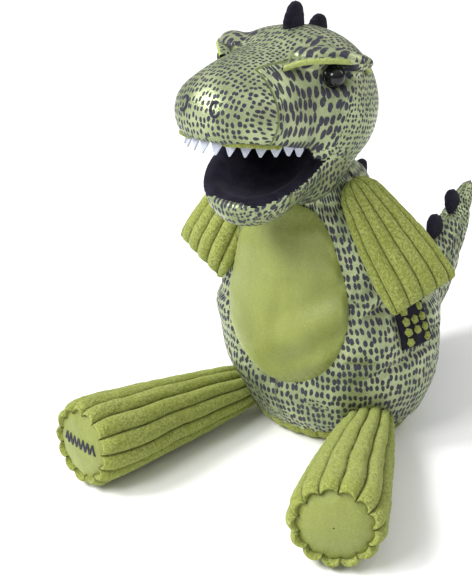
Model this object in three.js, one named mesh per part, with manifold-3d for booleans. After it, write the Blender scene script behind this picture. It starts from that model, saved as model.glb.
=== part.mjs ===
// A seated stuffed dinosaur, built as it comes apart on a bench: fabric skins with stuffing inside
// them, sewn-on panels, felt teeth, stuffed spikes, safety eyes, and a zipped pocket in the back.
// Millimetres, +Z up. The origin is the centre of the seat's underside, and the toy faces -Y.

import * as THREE from "three";
import { mergeVertices } from "three/addons/utils/BufferGeometryUtils.js";
import Module from "manifold-3d";

const wasm = await Module();
wasm.setup();

// ---------------------------------------------------------------- driving dimensions

const GAP = 0.4; // air left between neighbouring pieces
const CLOTH = 2; // thickness of a fabric skin
const FELT = 1.5; // thickness of the mouth's felt
const JOINT_AIR = 1.2; // air around a soft ball joint

// Torso: [radius, height] of a pear, straight from 82 to 140 where the zip runs.
const TORSO_PROFILE = [
  [0, 0], [46, 0], [53, 5], [63, 20], [73, 46], [75, 82], [58, 140], [48, 159], [37, 174], [33, 186], [23, 198], [0, 206],
];
const TORSO_DEPTH = 0.88; // front-to-back size over width
const TORSO_LEAN = -40; // how far forward the top of the pear stands
const TORSO_TOP = 206;
const SEAT_RIM = 9; // height where the corduroy seat panel ends
const BELLY = { centre: 110, halfWidth: 45, halfHeight: 60, taper: 0.2, shoulders: 0.6, depth: 110 };

// Head: its own frame has the mouth corners on its X axis and the lips' plane at z = 0.
const MOUTH_AT = [0, -62, 212];
const HEAD_TILT = -12; // degrees about X, so that the snout points up
const SKULL = { centre: [0, 17, 24], size: [46, 37, 41] };
const FOREHEAD = { centre: [0, -2, 34], size: [46, 34, 32] };
const SNOUT = { centre: [0, -34, 10], size: [36, 51, 29] };
const EYE = { x: 38, y: -15, z: 41, radius: 6, shank: 2, shankLength: 13, washer: 6 };
const BROW = { centre: [38, -14, 53], size: [11, 25, 4.5], turn: 32, slope: 13, roll: -20 };
const NOSTRIL = { x: 10, z: 17, radius: 4, thread: 0.9 };
const TOOTH = { height: 9, pitch: 11, count: 15, band: 1.6, thick: 1.2, sweep: 98 };
const JAW_TILT = 24; // degrees about X, so that the chin hangs down
const JAW_DROP = 12; // degrees of room for the jaw to open further
const JAW = { centre: [0, -20, 0], size: [37, 43, 31], root: 13, rootHalf: 37, thick: 9 };
const NECK_AT = [0, -31, 172];
const NECK_RADIUS = 38;

// Limbs, each along its own -Z from the joint.
const ARM = { length: 73, root: 12, end: 24, flat: 0.58, room: 85 };
const ARM_ROOT_AT = { left: [39, -38, 178], right: [-39, -38, 178] };
const ARM_END_AT = { left: [80, -35, 128], right: [-66, -50, 126] };
const ARM_TWIST = { left: -40, right: 60 };
const LEG = { length: 146, root: 15, end: 29, flat: 0.96, pad: 23, room: 46, lift: 32 };
const LEG_ROOT_AT = { left: [48, -27, 20], right: [-45, -36, 20] };
const LEG_END_AT = { left: [101, -150, 30], right: [-69, -177, 30] };

// Tail: [radius, distance along] from its root, on a curve that sweeps up behind.
const TAIL_PROFILE = [[0, 0], [27, 0], [29, 12], [27, 44], [21, 84], [14, 120], [7.5, 152], [5, 162], [0, 166]];
const TAIL_LENGTH = 166;
const TAIL_CURVE = [[0, 46, 38], [0, 84, 43], [0, 122, 60], [0, 162, 88], [0, 189, 115]];
const TAIL_BALL = 33;
const TAIL_WAG = 15; // degrees of room to each side

// Spikes: where each stands, which way it tilts, half its length and its height.
const SPIKE_THICK = 4.5;
const CROWN_SPIKES = [
  { at: [0, -6, 60], tilt: 4, half: 10, height: 22 },
  { at: [0, 19, 60], tilt: -14, half: 9, height: 15 },
  { at: [0, 43, 44], tilt: -56, half: 8, height: 17 },
];
const BACK_SPIKES = [{ z: 160, half: 9 }, { z: 137, half: 10 }, { z: 112, half: 10 }];
const TAIL_SPIKES = [{ t: 0.3, half: 10 }, { t: 0.48, half: 10 }, { t: 0.66, half: 10 }, { t: 0.84, half: 9 }];
const SPIKE_HEIGHT = 21;

// Zip, down the right-hand side of the back.
const ZIP = { turn: 142, width: 16, coil: 4, slider: [8, 4, 11], pull: [5, 1.4, 16] };
const POUCH = { deep: 46, thick: 6 };
const LABEL = { x: -32, y: 52 };
const PATCH = { y: -11, z: 93, size: 30 };

// ---------------------------------------------------------------- materials

const matter = (color, roughness, metalness = 0) => new THREE.MeshStandardMaterial({ color, roughness, metalness });
const SCALE_PRINT = matter(0x8f9a68, 0.5);
const CORDUROY = matter(0x93a02f, 0.95);
const VELOUR = matter(0x9aa63a, 0.7);
const DARK_FELT = matter(0x17151c, 0.95);
const WHITE_FELT = matter(0xe8ebf4, 0.8);
const FIBRE = matter(0xf2f1ec, 1);
const BLACK_PLASTIC = matter(0x07070a, 0.08);
const CLEAR_NYLON = matter(0xd8d8d2, 0.4);
const ZIP_METAL = matter(0x2c2c30, 0.35, 0.9);

// ---------------------------------------------------------------- making and joining solids

const SIDES = { left: 1, right: -1 };
const radians = THREE.MathUtils.degToRad;
const vector = (place) => new THREE.Vector3(...place);

// A closed geometry as a manifold-3d solid.
function solid(geometry) {
  const bare = geometry.clone();
  for (const name of Object.keys(bare.attributes)) if (name !== "position") bare.deleteAttribute(name);
  const merged = mergeVertices(bare, 1e-3);
  return new wasm.Manifold(new wasm.Mesh({
    numProp: 3,
    vertProperties: merged.attributes.position.array,
    triVerts: new Uint32Array(merged.index.array),
  }));
}

// The largest body of a manifold-3d solid, as a geometry.
function geometryOf(made) {
  const bodies = made.decompose().sort((a, b) => b.volume() - a.volume());
  const mesh = bodies[0].getMesh();
  return new THREE.BufferGeometry()
    .setAttribute("position", new THREE.BufferAttribute(new Float32Array(mesh.vertProperties), 3))
    .setIndex(new THREE.BufferAttribute(new Uint32Array(mesh.triVerts), 1));
}

// Moves every vertex by a function of its place.
function reshape(geometry, move) {
  const places = geometry.attributes.position;
  const v = new THREE.Vector3();
  for (let i = 0; i < places.count; i++) {
    v.fromBufferAttribute(places, i);
    move(v);
    places.setXYZ(i, v.x, v.y, v.z);
  }
  return geometry;
}

// A profile of [radius, height] points turned about Z.
function turned(profile, segments) {
  const points = profile.map(([radius, height]) => new THREE.Vector2(radius, height));
  return new THREE.LatheGeometry(points, segments).rotateX(Math.PI / 2);
}

function ellipsoid(centre, size, across = 24, up = 14) {
  return new THREE.SphereGeometry(1, across, up).rotateX(Math.PI / 2).scale(...size).translate(...centre);
}

function block(centre, size) {
  return new THREE.BoxGeometry(...size).translate(...centre);
}

// A rod along X, Y or Z.
function rod(centre, radius, length, axis, segments = 16) {
  const made = new THREE.CylinderGeometry(radius, radius, length, segments);
  if (axis === "x") made.rotateZ(Math.PI / 2);
  if (axis === "z") made.rotateX(Math.PI / 2);
  return made.translate(...centre);
}

// A named mesh for one piece, from a geometry or a manifold-3d solid.
function piece(name, shape, material) {
  const made = new THREE.Mesh(shape.isBufferGeometry ? shape : geometryOf(shape), material);
  made.name = name;
  return made;
}

const union = (solids) => solids.reduce((sum, next) => sum.add(next));

// A manifold-3d solid moved by a group's own place and turn, and the same undone.
function moved(made, group, back = false) {
  group.updateMatrix();
  const matrix = back ? group.matrix.clone().invert() : group.matrix;
  return made.transform(matrix.elements);
}

const toy = new THREE.Group();

// ---------------------------------------------------------------- frames of the moving parts

function tiltedGroup(at, tilt) {
  const group = new THREE.Group();
  group.position.set(...at);
  group.rotation.x = radians(tilt);
  toy.add(group);
  return group;
}

// A group at one end of a limb whose -Z points at the other end. Its X is level, then twisted.
function limbGroup(from, to, twist = 0) {
  const group = new THREE.Group();
  const up = vector(from).sub(vector(to)).normalize();
  const across = new THREE.Vector3(0, 0, 1).cross(up).normalize();
  const front = new THREE.Vector3().crossVectors(up, across);
  group.position.set(...from);
  group.quaternion.setFromRotationMatrix(new THREE.Matrix4().makeBasis(across, front, up));
  group.rotateZ(radians(twist));
  toy.add(group);
  return group;
}

const head = tiltedGroup(MOUTH_AT, HEAD_TILT);
const jaw = tiltedGroup(MOUTH_AT, JAW_TILT);
const arms = {};
const legs = {};
for (const side in SIDES) {
  arms[side] = limbGroup(ARM_ROOT_AT[side], ARM_END_AT[side], ARM_TWIST[side]);
  legs[side] = limbGroup(LEG_ROOT_AT[side], LEG_END_AT[side]);
}

// ---------------------------------------------------------------- torso

// A limb's outline from a ball at its joint to a blunt end, drawn in by inset.
function limbOutline({ length, root, end, flat }, inset) {
  const shape = turned([
    [0, -length + inset], [end * 0.88 - inset, -length * 0.97 + inset], [end - inset, -length * 0.9],
    [end * 0.94 - inset, -length * 0.7], [root + (end - root) * 0.55 - inset, -length * 0.35], [root - inset, 0],
    [(root - inset) * 0.8, (root - inset) * 0.6], [(root - inset) * 0.45, (root - inset) * 0.893], [0, root - inset],
  ], 18);
  return solid(reshape(shape, (v) => {
    v.y *= THREE.MathUtils.lerp(1, flat, THREE.MathUtils.smoothstep(-v.z, 0, length * 0.35));
  }));
}

const torsoLean = (z) => TORSO_LEAN * Math.pow(THREE.MathUtils.clamp(z / TORSO_TOP, 0, 1), 2);

// The torso's outline, drawn in by inset, or out if inset is negative.
function torsoOutline(inset) {
  const last = TORSO_PROFILE.length - 1;
  const profile = TORSO_PROFILE.map(([radius, z], i) => [
    radius ? radius - inset : 0,
    i === 0 || i === 1 ? inset : i === last ? z - inset : z,
  ]);
  return solid(reshape(turned(profile, 28), (v) => {
    v.y = v.y * TORSO_DEPTH + torsoLean(v.z);
  }));
}

// An egg-shaped column along Y that cuts the belly panel's outline.
function bellyColumn(inset) {
  const steps = 32;
  const points = [];
  for (let i = 0; i < steps; i++) {
    const a = (i / steps) * Math.PI * 2;
    const width = (BELLY.halfWidth - inset) * (1 - BELLY.taper * Math.sin(a));
    const across = Math.sign(Math.cos(a)) * Math.abs(Math.cos(a)) ** (a < Math.PI ? BELLY.shoulders : 1);
    points.push(new THREE.Vector2(width * across, BELLY.centre + (BELLY.halfHeight - inset) * Math.sin(a)));
  }
  const made = new THREE.ExtrudeGeometry(new THREE.Shape(points), { depth: BELLY.depth, bevelEnabled: false });
  return solid(made.rotateX(Math.PI / 2));
}

// The room that a limb's root needs inside the torso, from rest to lifted by an angle.
function limbRoom(limb, group, lift) {
  const root = limbOutline(limb, -JOINT_AIR).intersect(solid(block([0, 0, 0], [200, 200, 2 * limb.room])));
  const lifted = solid(geometryOf(root).rotateX(radians(lift)));
  return moved(lift ? wasm.Manifold.hull([root, lifted]) : root, group);
}

const TAIL_SOCKET = solid(ellipsoid(TAIL_CURVE[0], Array(3).fill(TAIL_BALL + JOINT_AIR), 20, 12));
const TORSO_SOCKETS = union([
  TAIL_SOCKET,
  ...Object.keys(SIDES).map((side) => limbRoom(ARM, arms[side], 0)),
  ...Object.keys(SIDES).map((side) => limbRoom(LEG, legs[side], LEG.lift)),
]);
const TORSO_OUTER = torsoOutline(0);

function addTorso() {
  const belowRim = solid(block([0, 0, SEAT_RIM - 100 + GAP / 2], [400, 400, 200]));
  const skin = TORSO_OUTER.subtract(torsoOutline(CLOTH)).subtract(belowRim).subtract(TORSO_SOCKETS);
  const seat = turned([
    [0, 0], [46, 0], [54.5, 4], [58, SEAT_RIM - GAP / 2], [55, SEAT_RIM - GAP / 2], [52.5, 5.5], [45, CLOTH], [0, CLOTH],
  ], 28).scale(1, TORSO_DEPTH, 1);
  toy.add(piece("torso_skin", skin.subtract(bellyColumn(0)), SCALE_PRINT));
  toy.add(piece("belly_panel", skin.intersect(bellyColumn(GAP)), VELOUR));
  toy.add(piece("seat_panel", solid(seat).subtract(TORSO_SOCKETS), CORDUROY));
}

// A square patch sewn on the left hip, lying on the curve of the torso.
function addPatch() {
  const column = solid(block([60, PATCH.y, PATCH.z], [120, PATCH.size, PATCH.size]).rotateX(0));
  const patch = torsoOutline(-GAP - FELT).subtract(torsoOutline(-GAP)).intersect(column);
  toy.add(piece("hip_patch", patch, DARK_FELT));
}

// A spike: a flat stuffed tongue that stands on a surface, in the plane x = 0.
function spike(at, tilt, half, height) {
  const made = ellipsoid([0, 0, 0], [SPIKE_THICK, half, height], 12, 10);
  return solid(made.rotateX(radians(tilt)).translate(...at));
}

// The torso's surface on its centre back at height z: [y, z], and the way it faces, in degrees.
function backOf(z) {
  const i = TORSO_PROFILE.findIndex(([, height]) => height >= z);
  const [[r0, z0], [r1, z1]] = [TORSO_PROFILE[i - 1], TORSO_PROFILE[i]];
  const yAt = (height) => (r0 + ((r1 - r0) * (height - z0)) / (z1 - z0)) * TORSO_DEPTH + torsoLean(height);
  const slope = (yAt(z + 1) - yAt(z - 1)) / 2;
  return { y: yAt(z), z, facing: THREE.MathUtils.radToDeg(Math.atan(slope)) };
}

function addBackSpikes() {
  const keepOff = torsoOutline(-GAP);
  BACK_SPIKES.forEach(({ z, half }, i) => {
    const at = backOf(z);
    const made = spike([0, at.y, at.z], -90 - at.facing, half, SPIKE_HEIGHT).subtract(keepOff);
    toy.add(piece(`back_spike_${i + 1}`, made, DARK_FELT));
  });
}

// ---------------------------------------------------------------- zip and pocket in the back

// A group that stands on the torso where the zip is: its Z runs up the zip, its Y points outwards.
function zipGroup() {
  const group = new THREE.Group();
  const turn = radians(ZIP.turn);
  const at = (radius, z) => new THREE.Vector3(
    -Math.sin(turn) * radius, -Math.cos(turn) * radius * TORSO_DEPTH + torsoLean(z), z);
  const low = at(TORSO_PROFILE[5][0], TORSO_PROFILE[5][1]);
  const high = at(TORSO_PROFILE[6][0], TORSO_PROFILE[6][1]);
  const up = high.clone().sub(low).normalize();
  const out = new THREE.Vector3(-Math.sin(turn) * TORSO_DEPTH, -Math.cos(turn), 0);
  out.addScaledVector(up, -out.dot(up)).normalize();
  group.position.copy(low);
  group.quaternion.setFromRotationMatrix(
    new THREE.Matrix4().makeBasis(new THREE.Vector3().crossVectors(out, up), out, up));
  return { group, run: high.distanceTo(low) };
}

function addZip() {
  const { group, run } = zipGroup();
  const layer = (inner, outer, width, length) => {
    const column = solid(block([0, 0, run / 2], [width, 24, length]));
    return torsoOutline(-outer).subtract(torsoOutline(-inner)).intersect(moved(column, group));
  };
  const [, sliderOut] = ZIP.slider;
  toy.add(piece("zip_tape", layer(GAP, GAP + 0.8, ZIP.width, run), DARK_FELT));
  toy.add(piece("zip_coil", layer(GAP * 2 + 0.8, GAP * 2 + 2, ZIP.coil, run - 6), DARK_FELT));
  const riding = 4.2; // how far the slider's middle stands off the torso's straight line
  const slider = block([0, riding + sliderOut / 2, run - 8], ZIP.slider);
  const pull = block([0, riding + sliderOut + 1.6, run - 8 - ZIP.pull[2] / 2], ZIP.pull);
  group.add(piece("zip_slider", slider, ZIP_METAL), piece("zip_pull", pull, ZIP_METAL));
  toy.add(group);
  const { deep, thick } = POUCH;
  const top = -CLOTH - 3 * GAP;
  const pouch = solid(block([0, top - deep / 2, run / 2], [thick, deep, run - 6]));
  const inside = solid(block([0, 20 - (deep + 30) / 2, run / 2], [thick + 2 * GAP, deep + 30, run - 6 + 2 * GAP]));
  toy.add(piece("pocket_pouch", moved(pouch, group).intersect(torsoOutline(CLOTH + GAP)), VELOUR));
  const stuffing = torsoOutline(CLOTH + GAP).subtract(TORSO_SOCKETS).subtract(moved(inside, group))
    .subtract(solid(block([0, 0, 0], [400, 400, 14])));
  toy.add(piece("torso_stuffing", stuffing, FIBRE));
}

// A blank folded label caught in the seam above the seat.
function addCareLabel() {
  const made = block([LABEL.x, LABEL.y, SEAT_RIM + 5], [16, 24, 0.6]);
  toy.add(piece("care_label", solid(made).subtract(torsoOutline(-GAP)), WHITE_FELT));
}

// ---------------------------------------------------------------- head

const NECK_SOCKET = solid(ellipsoid(NECK_AT, Array(3).fill(NECK_RADIUS + JOINT_AIR), 20, 12));

function headOutline(inset) {
  return union([SKULL, FOREHEAD, SNOUT].map(({ centre, size }) => (
    solid(ellipsoid(centre, size.map((s) => s - inset), 20, 10)))));
}

// The space under a level plane in front of the mouth corners, and the room that the jaw sweeps.
function mouthSpace(level) {
  const under = solid(block([0, -70, level - 100], [300, 140, 200]));
  const swept = solid(block([0, -70, -100], [300, 140, 200]).rotateX(radians(JAW_TILT - HEAD_TILT + JAW_DROP)));
  return union([under, swept, solid(rod([0, 0, 0], JAW.root + JOINT_AIR, 300, "x", 18))]);
}

// Where the eye and its shank are: the shank runs inwards along the group's +Y.
function eyePlace(side) {
  const turn = new THREE.Matrix4().makeRotationZ(SIDES[side] * radians(60));
  return turn.setPosition(SIDES[side] * EYE.x, EYE.y, EYE.z).elements;
}

function eyeSolid(grow) {
  const ball = solid(ellipsoid([0, 0, 0], Array(3).fill(EYE.radius + grow), 14, 8));
  const shank = rod([0, EYE.shankLength / 2, 0], EYE.shank + grow, EYE.shankLength + grow * 2, "y", 10);
  return ball.add(solid(shank));
}

function washerDisc(grow) {
  return solid(rod([0, 10, 0], EYE.washer + grow, 1.6 + grow * 2, "y", 14));
}

// Felt teeth in one strip: a row of points that hangs from a narrow band along the lip.
function toothStrip() {
  const [halfWidth, halfLength] = [SNOUT.size[0] - 4, SNOUT.size[1] - 4];
  const half = (TOOTH.count - 1) / 2;
  const shapes = [];
  for (let i = -half; i <= half; i++) {
    const a = (i / half) * radians(TOOTH.sweep);
    const facing = Math.atan2(Math.sin(a) / halfWidth, Math.cos(a) / halfLength);
    const drop = TOOTH.height * (1 - 0.4 * Math.abs(i / half));
    const wide = TOOTH.pitch / 2;
    const outline = new THREE.Shape([
      new THREE.Vector2(-wide - 0.8, 0), new THREE.Vector2(-wide - 0.8, -TOOTH.band),
      new THREE.Vector2(-wide, -TOOTH.band), new THREE.Vector2(0, -drop), new THREE.Vector2(wide, -TOOTH.band),
      new THREE.Vector2(wide + 0.8, -TOOTH.band), new THREE.Vector2(wide + 0.8, 0),
    ]);
    const made = new THREE.ExtrudeGeometry(outline, { depth: TOOTH.thick, bevelEnabled: false });
    const at = [Math.sin(a) * halfWidth, SNOUT.centre[1] - Math.cos(a) * halfLength, -GAP];
    shapes.push(solid(made.rotateX(Math.PI / 2).rotateZ(facing).translate(...at)));
  }
  return union(shapes);
}

// The snout's surface at x and z: the place, and the way it faces.
function onSnout(x, z) {
  const [dx, dz] = [x - SNOUT.centre[0], z - SNOUT.centre[2]];
  const [a, b, c] = SNOUT.size;
  const dy = -b * Math.sqrt(1 - (dx / a) ** 2 - (dz / c) ** 2);
  const facing = new THREE.Vector3(dx / a ** 2, dy / b ** 2, dz / c ** 2).normalize();
  return { at: new THREE.Vector3(x, SNOUT.centre[1] + dy, z), facing };
}

function nostril(sign) {
  const { at, facing } = onSnout(sign * NOSTRIL.x, NOSTRIL.z);
  const turn = new THREE.Quaternion().setFromUnitVectors(new THREE.Vector3(0, 0, 1), facing);
  const ring = new THREE.TorusGeometry(NOSTRIL.radius, NOSTRIL.thread, 6, 14).applyQuaternion(turn);
  return solid(ring.translate(at.x, at.y, at.z));
}

function brow(sign) {
  const { centre: [x, y, z], size, turn, slope, roll } = BROW;
  const made = ellipsoid([0, 0, 0], size, 14, 8).rotateY(sign * radians(roll)).rotateX(radians(slope));
  return solid(made.rotateZ(sign * radians(-turn)).translate(sign * x, y, z));
}

function addHead() {
  const neck = moved(NECK_SOCKET, head, true);
  const eyeRoom = union(Object.keys(SIDES).map((side) => eyeSolid(GAP).transform(eyePlace(side))));
  const washerRoom = union(Object.keys(SIDES).map((side) => washerDisc(GAP).transform(eyePlace(side))));
  const shell = headOutline(0).subtract(headOutline(CLOTH));
  head.add(piece("head_skin", shell.subtract(mouthSpace(0)).subtract(neck).subtract(eyeRoom), SCALE_PRINT));
  const inside = headOutline(CLOTH + GAP).subtract(neck);
  const filling = inside.subtract(mouthSpace(FELT + 2 * GAP)).subtract(eyeRoom).subtract(washerRoom);
  head.add(piece("head_stuffing", filling, FIBRE));
  const roof = solid(block([0, -70, GAP + FELT / 2], [200, 140, FELT]));
  head.add(piece("palate_lining", inside.intersect(roof).subtract(mouthSpace(0)), DARK_FELT));
  head.add(piece("tooth_strip", toothStrip(), WHITE_FELT));
  const clear = headOutline(-GAP).add(eyeRoom);
  const bore = solid(rod([0, 10, 0], EYE.shank + GAP, 10, "y", 10));
  for (const side in SIDES) {
    head.add(piece(`eye_${side}`, eyeSolid(0).transform(eyePlace(side)), BLACK_PLASTIC));
    head.add(piece(`eye_washer_${side}`, washerDisc(0).subtract(bore).transform(eyePlace(side)), CLEAR_NYLON));
    head.add(piece(`brow_${side}`, brow(SIDES[side]).subtract(clear), SCALE_PRINT));
    head.add(piece(`nostril_stitch_${side}`, nostril(SIDES[side]).subtract(headOutline(-0.1)), DARK_FELT));
  }
  CROWN_SPIKES.forEach(({ at, tilt, half, height }, i) => {
    head.add(piece(`crown_spike_${i + 1}`, spike(at, -tilt, half, height).subtract(headOutline(-GAP)), DARK_FELT));
  });
}

// ---------------------------------------------------------------- lower jaw

// The scoop of the lower jaw, open to the lips' plane, with the rolled root at the mouth corners.
function jawOutline(inset) {
  const bowl = reshape(ellipsoid([0, 0, 0], [1, 1, 1], 24, 12), (v) => {
    v.z = Math.sign(v.z) * Math.pow(Math.abs(v.z), 0.7);
  });
  bowl.scale(...JAW.size.map((s) => s - inset)).translate(...JAW.centre);
  const aboveOrBehind = solid(block([0, 0, 100], [400, 400, 200])).add(solid(block([0, 100, 0], [400, 200, 200])));
  const root = rod([0, 0, 0], JAW.root - inset, 2 * (JAW.rootHalf - inset), "x", 18);
  return solid(bowl).subtract(aboveOrBehind).add(solid(root));
}

function addJaw() {
  const neck = moved(NECK_SOCKET, jaw, true);
  const front = (drawnIn) => solid(block([0, -100 - JAW.root - drawnIn, 0], [400, 200, 200]));
  const slab = (top, thick) => solid(block([0, 0, top - thick / 2], [400, 400, thick]));
  const scoop = jawOutline(JAW.thick).intersect(front(0));
  const rim = jawOutline(CLOTH + GAP).intersect(slab(0, FELT)).intersect(front(0));
  const lining = rim.add(scoop).subtract(jawOutline(JAW.thick + FELT).subtract(slab(-100, 1)));
  const skin = jawOutline(0).subtract(jawOutline(CLOTH)).subtract(neck);
  const filling = jawOutline(CLOTH + GAP)
    .subtract(jawOutline(JAW.thick - GAP).intersect(front(-GAP)))
    .subtract(slab(0, FELT + GAP).intersect(front(-GAP)));
  jaw.add(piece("jaw_skin", skin, SCALE_PRINT));
  jaw.add(piece("jaw_stuffing", filling.subtract(neck), FIBRE));
  jaw.add(piece("jaw_lining", lining.subtract(neck), DARK_FELT));
}

// ---------------------------------------------------------------- arms and legs

function addArms() {
  const turningHole = solid(rod([0, 0, ARM.root], 4, 12, "z", 10));
  const outline = limbOutline(ARM, 0);
  const skin = outline.subtract(limbOutline(ARM, CLOTH)).subtract(turningHole);
  for (const side in SIDES) {
    arms[side].add(piece(`arm_${side}_skin`, skin, CORDUROY));
    arms[side].add(piece(`arm_${side}_stuffing`, limbOutline(ARM, CLOTH + GAP), FIBRE));
  }
}

function addLegs() {
  const foot = -LEG.length * 0.97;
  const beyond = solid(block([0, 0, foot - 50], [200, 200, 100]));
  const opening = solid(rod([0, 0, foot], LEG.pad + GAP, 12, "z", 20)).scale([1, LEG.flat, 1]);
  const pad = solid(rod([0, 0, foot + 1.5], LEG.pad, 3, "z", 20)).scale([1, LEG.flat, 1]);
  const padSpace = solid(block([0, 0, foot], [200, 200, 7]));
  const skin = limbOutline(LEG, 0).subtract(beyond).subtract(limbOutline(LEG, CLOTH)).subtract(opening);
  const filling = limbOutline(LEG, CLOTH + GAP).subtract(beyond).subtract(padSpace);
  for (const side in SIDES) {
    legs[side].add(piece(`leg_${side}_skin`, skin, CORDUROY));
    legs[side].add(piece(`foot_pad_${side}`, pad, VELOUR));
    legs[side].add(piece(`leg_${side}_stuffing`, filling, FIBRE));
  }
}

// ---------------------------------------------------------------- tail

const tailCurve = new THREE.CatmullRomCurve3(TAIL_CURVE.map(vector));
const ACROSS = new THREE.Vector3(1, 0, 0);

// The tail's curve at a share of its length: the point, and the way that its top faces.
function tailAt(t) {
  const along = tailCurve.getTangentAt(t);
  return { at: tailCurve.getPointAt(t), top: new THREE.Vector3().crossVectors(ACROSS, along), along };
}

function tailOutline(inset) {
  const steps = 11;
  const line = new THREE.SplineCurve(TAIL_PROFILE.slice(1, -1).map(([radius, s]) => new THREE.Vector2(radius, s)));
  const side = line.getPoints(steps).map((p) => [Math.max(1, p.x - inset), p.y]);
  side[0][1] += inset;
  const profile = [[0, inset], ...side, [0, TAIL_LENGTH - inset]];
  return solid(reshape(turned(profile, 18), (v) => {
    const { at, top } = tailAt(THREE.MathUtils.clamp(v.z / TAIL_LENGTH, 0, 1));
    const [x, y] = [v.x, v.y];
    v.copy(at).addScaledVector(ACROSS, x).addScaledVector(top, -y);
  }));
}

function tailRadiusAt(t) {
  const s = t * TAIL_LENGTH;
  const i = TAIL_PROFILE.findIndex(([, along]) => along > s);
  const [[r0, s0], [r1, s1]] = [TAIL_PROFILE[i - 1], TAIL_PROFILE[i]];
  return THREE.MathUtils.lerp(r0, r1, (s - s0) / (s1 - s0));
}

// Everything of the torso that would come within reach of the tail as it wags.
function torsoAroundTail() {
  const [x, y, z] = TAIL_CURVE[0];
  const ball = solid(ellipsoid(TAIL_CURVE[0], Array(3).fill(TAIL_BALL), 20, 12));
  const behind = solid(block([0, y + 60, z], [160, 160, 110]));
  const around = torsoOutline(-GAP).intersect(behind).subtract(ball).translate(-x, -y, 0);
  const angles = [-1, -2 / 3, -1 / 3, 0, 1 / 3, 2 / 3, 1].map((share) => share * TAIL_WAG);
  return union(angles.map((angle) => around.rotate([0, 0, angle]).translate(x, y, 0)));
}

function addTail() {
  const trim = torsoAroundTail();
  const outer = tailOutline(0).subtract(trim);
  const stuffingHole = solid(rod([0, TAIL_CURVE[0][1] - 10, TAIL_CURVE[0][2]], 12, 40, "y", 16));
  toy.add(piece("tail_skin", outer.subtract(tailOutline(CLOTH)).subtract(stuffingHole), SCALE_PRINT));
  toy.add(piece("tail_stuffing", tailOutline(CLOTH + GAP).subtract(trim), FIBRE));
  const keepOff = tailOutline(-GAP).add(torsoOutline(-GAP));
  TAIL_SPIKES.forEach(({ t, half }, i) => {
    const { at, top, along } = tailAt(t);
    const place = at.clone().addScaledVector(top, tailRadiusAt(t) - 3);
    const lean = THREE.MathUtils.radToDeg(Math.atan2(along.z, along.y));
    const made = spike(place.toArray(), lean, half, SPIKE_HEIGHT).subtract(keepOff);
    toy.add(piece(`tail_spike_${i + 1}`, made, DARK_FELT));
  });
}

addTorso();
addPatch();
addBackSpikes();
addZip();
addCareLabel();
addHead();
addJaw();
addArms();
addLegs();
addTail();

export default toy;
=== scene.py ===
"""The looks of a seated stuffed dinosaur: foil-printed scale fabric, wide corduroy, velour and felt.

Lengths inside the makers below are in millimetres in the part's frame, and become metres in make_mesh.
"""

import math

import bpy
import numpy as np
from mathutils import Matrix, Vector
from mathutils.kdtree import KDTree


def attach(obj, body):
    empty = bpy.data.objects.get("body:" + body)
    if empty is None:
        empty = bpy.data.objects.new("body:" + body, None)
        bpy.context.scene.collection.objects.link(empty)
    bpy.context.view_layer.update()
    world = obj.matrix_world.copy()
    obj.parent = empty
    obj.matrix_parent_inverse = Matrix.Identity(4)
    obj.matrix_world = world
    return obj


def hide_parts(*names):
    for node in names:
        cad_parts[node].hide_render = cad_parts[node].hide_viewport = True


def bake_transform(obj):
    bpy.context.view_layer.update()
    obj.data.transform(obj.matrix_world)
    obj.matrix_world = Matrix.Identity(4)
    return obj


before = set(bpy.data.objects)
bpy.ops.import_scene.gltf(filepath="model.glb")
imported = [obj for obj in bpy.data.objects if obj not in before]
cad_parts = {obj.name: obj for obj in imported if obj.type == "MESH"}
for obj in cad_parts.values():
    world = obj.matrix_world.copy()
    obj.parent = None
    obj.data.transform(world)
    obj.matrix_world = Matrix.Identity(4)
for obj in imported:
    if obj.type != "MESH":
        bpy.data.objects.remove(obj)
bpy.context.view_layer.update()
SIDES = {"left": 1, "right": -1}

# The corners of the mouth: the head and the jaw each tilt about this line.
MOUTH = np.array([0.0, -62.0, 212.0])
HEAD_TILT = math.radians(-12)
JAW_TILT = math.radians(24)
ARM_ROOT = {"left": (39, -38, 178), "right": (-39, -38, 178)}
ARM_END = {"left": (80, -35, 128), "right": (-66, -50, 126)}
ARM_TWIST = {"left": -40, "right": 60}
LEG_ROOT = {"left": (48, -27, 20), "right": (-45, -36, 20)}
LEG_END = {"left": (101, -150, 30), "right": (-69, -177, 30)}
# The torso: (radius, height) up a pear, its depth over its width, and how far forward its top stands.
TORSO_PROFILE = np.array([
    (0, 0), (46, 0), (53, 5), (63, 20), (73, 46), (75, 82),
    (58, 140), (48, 159), (37, 174), (33, 186), (23, 198)], float)
TORSO_DEPTH = 0.88
TORSO_LEAN = -40
TORSO_TOP = 206
FLANK_RADIUS = 76  # the torso's radius beside the hip patch
PATCH_HALF = 15.5


# ---------------------------------------------------------------- meshes

def make_mesh(name, points, faces, material, smooth=True):
    """A piece from points in millimetres and a list of faces."""
    mesh = bpy.data.meshes.new(name)
    corners = [tuple(int(i) for i in face) for face in faces]
    mesh.from_pydata((np.asarray(points, float) / 1000).tolist(), [], corners)
    mesh.update()
    if smooth:
        mesh.shade_smooth()
    else:
        mesh.shade_flat()
    piece = bpy.data.objects.new(name, mesh)
    bpy.context.scene.collection.objects.link(piece)
    mesh.materials.append(material)
    return piece


def unit(v):
    return v / np.linalg.norm(v)


def units(rows):
    return rows / np.linalg.norm(rows, axis=1)[:, None]


def run_length(path):
    """The distance along a path up to each of its points."""
    return np.concatenate([[0], np.cumsum(np.linalg.norm(np.diff(path, axis=0), axis=1))])


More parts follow.
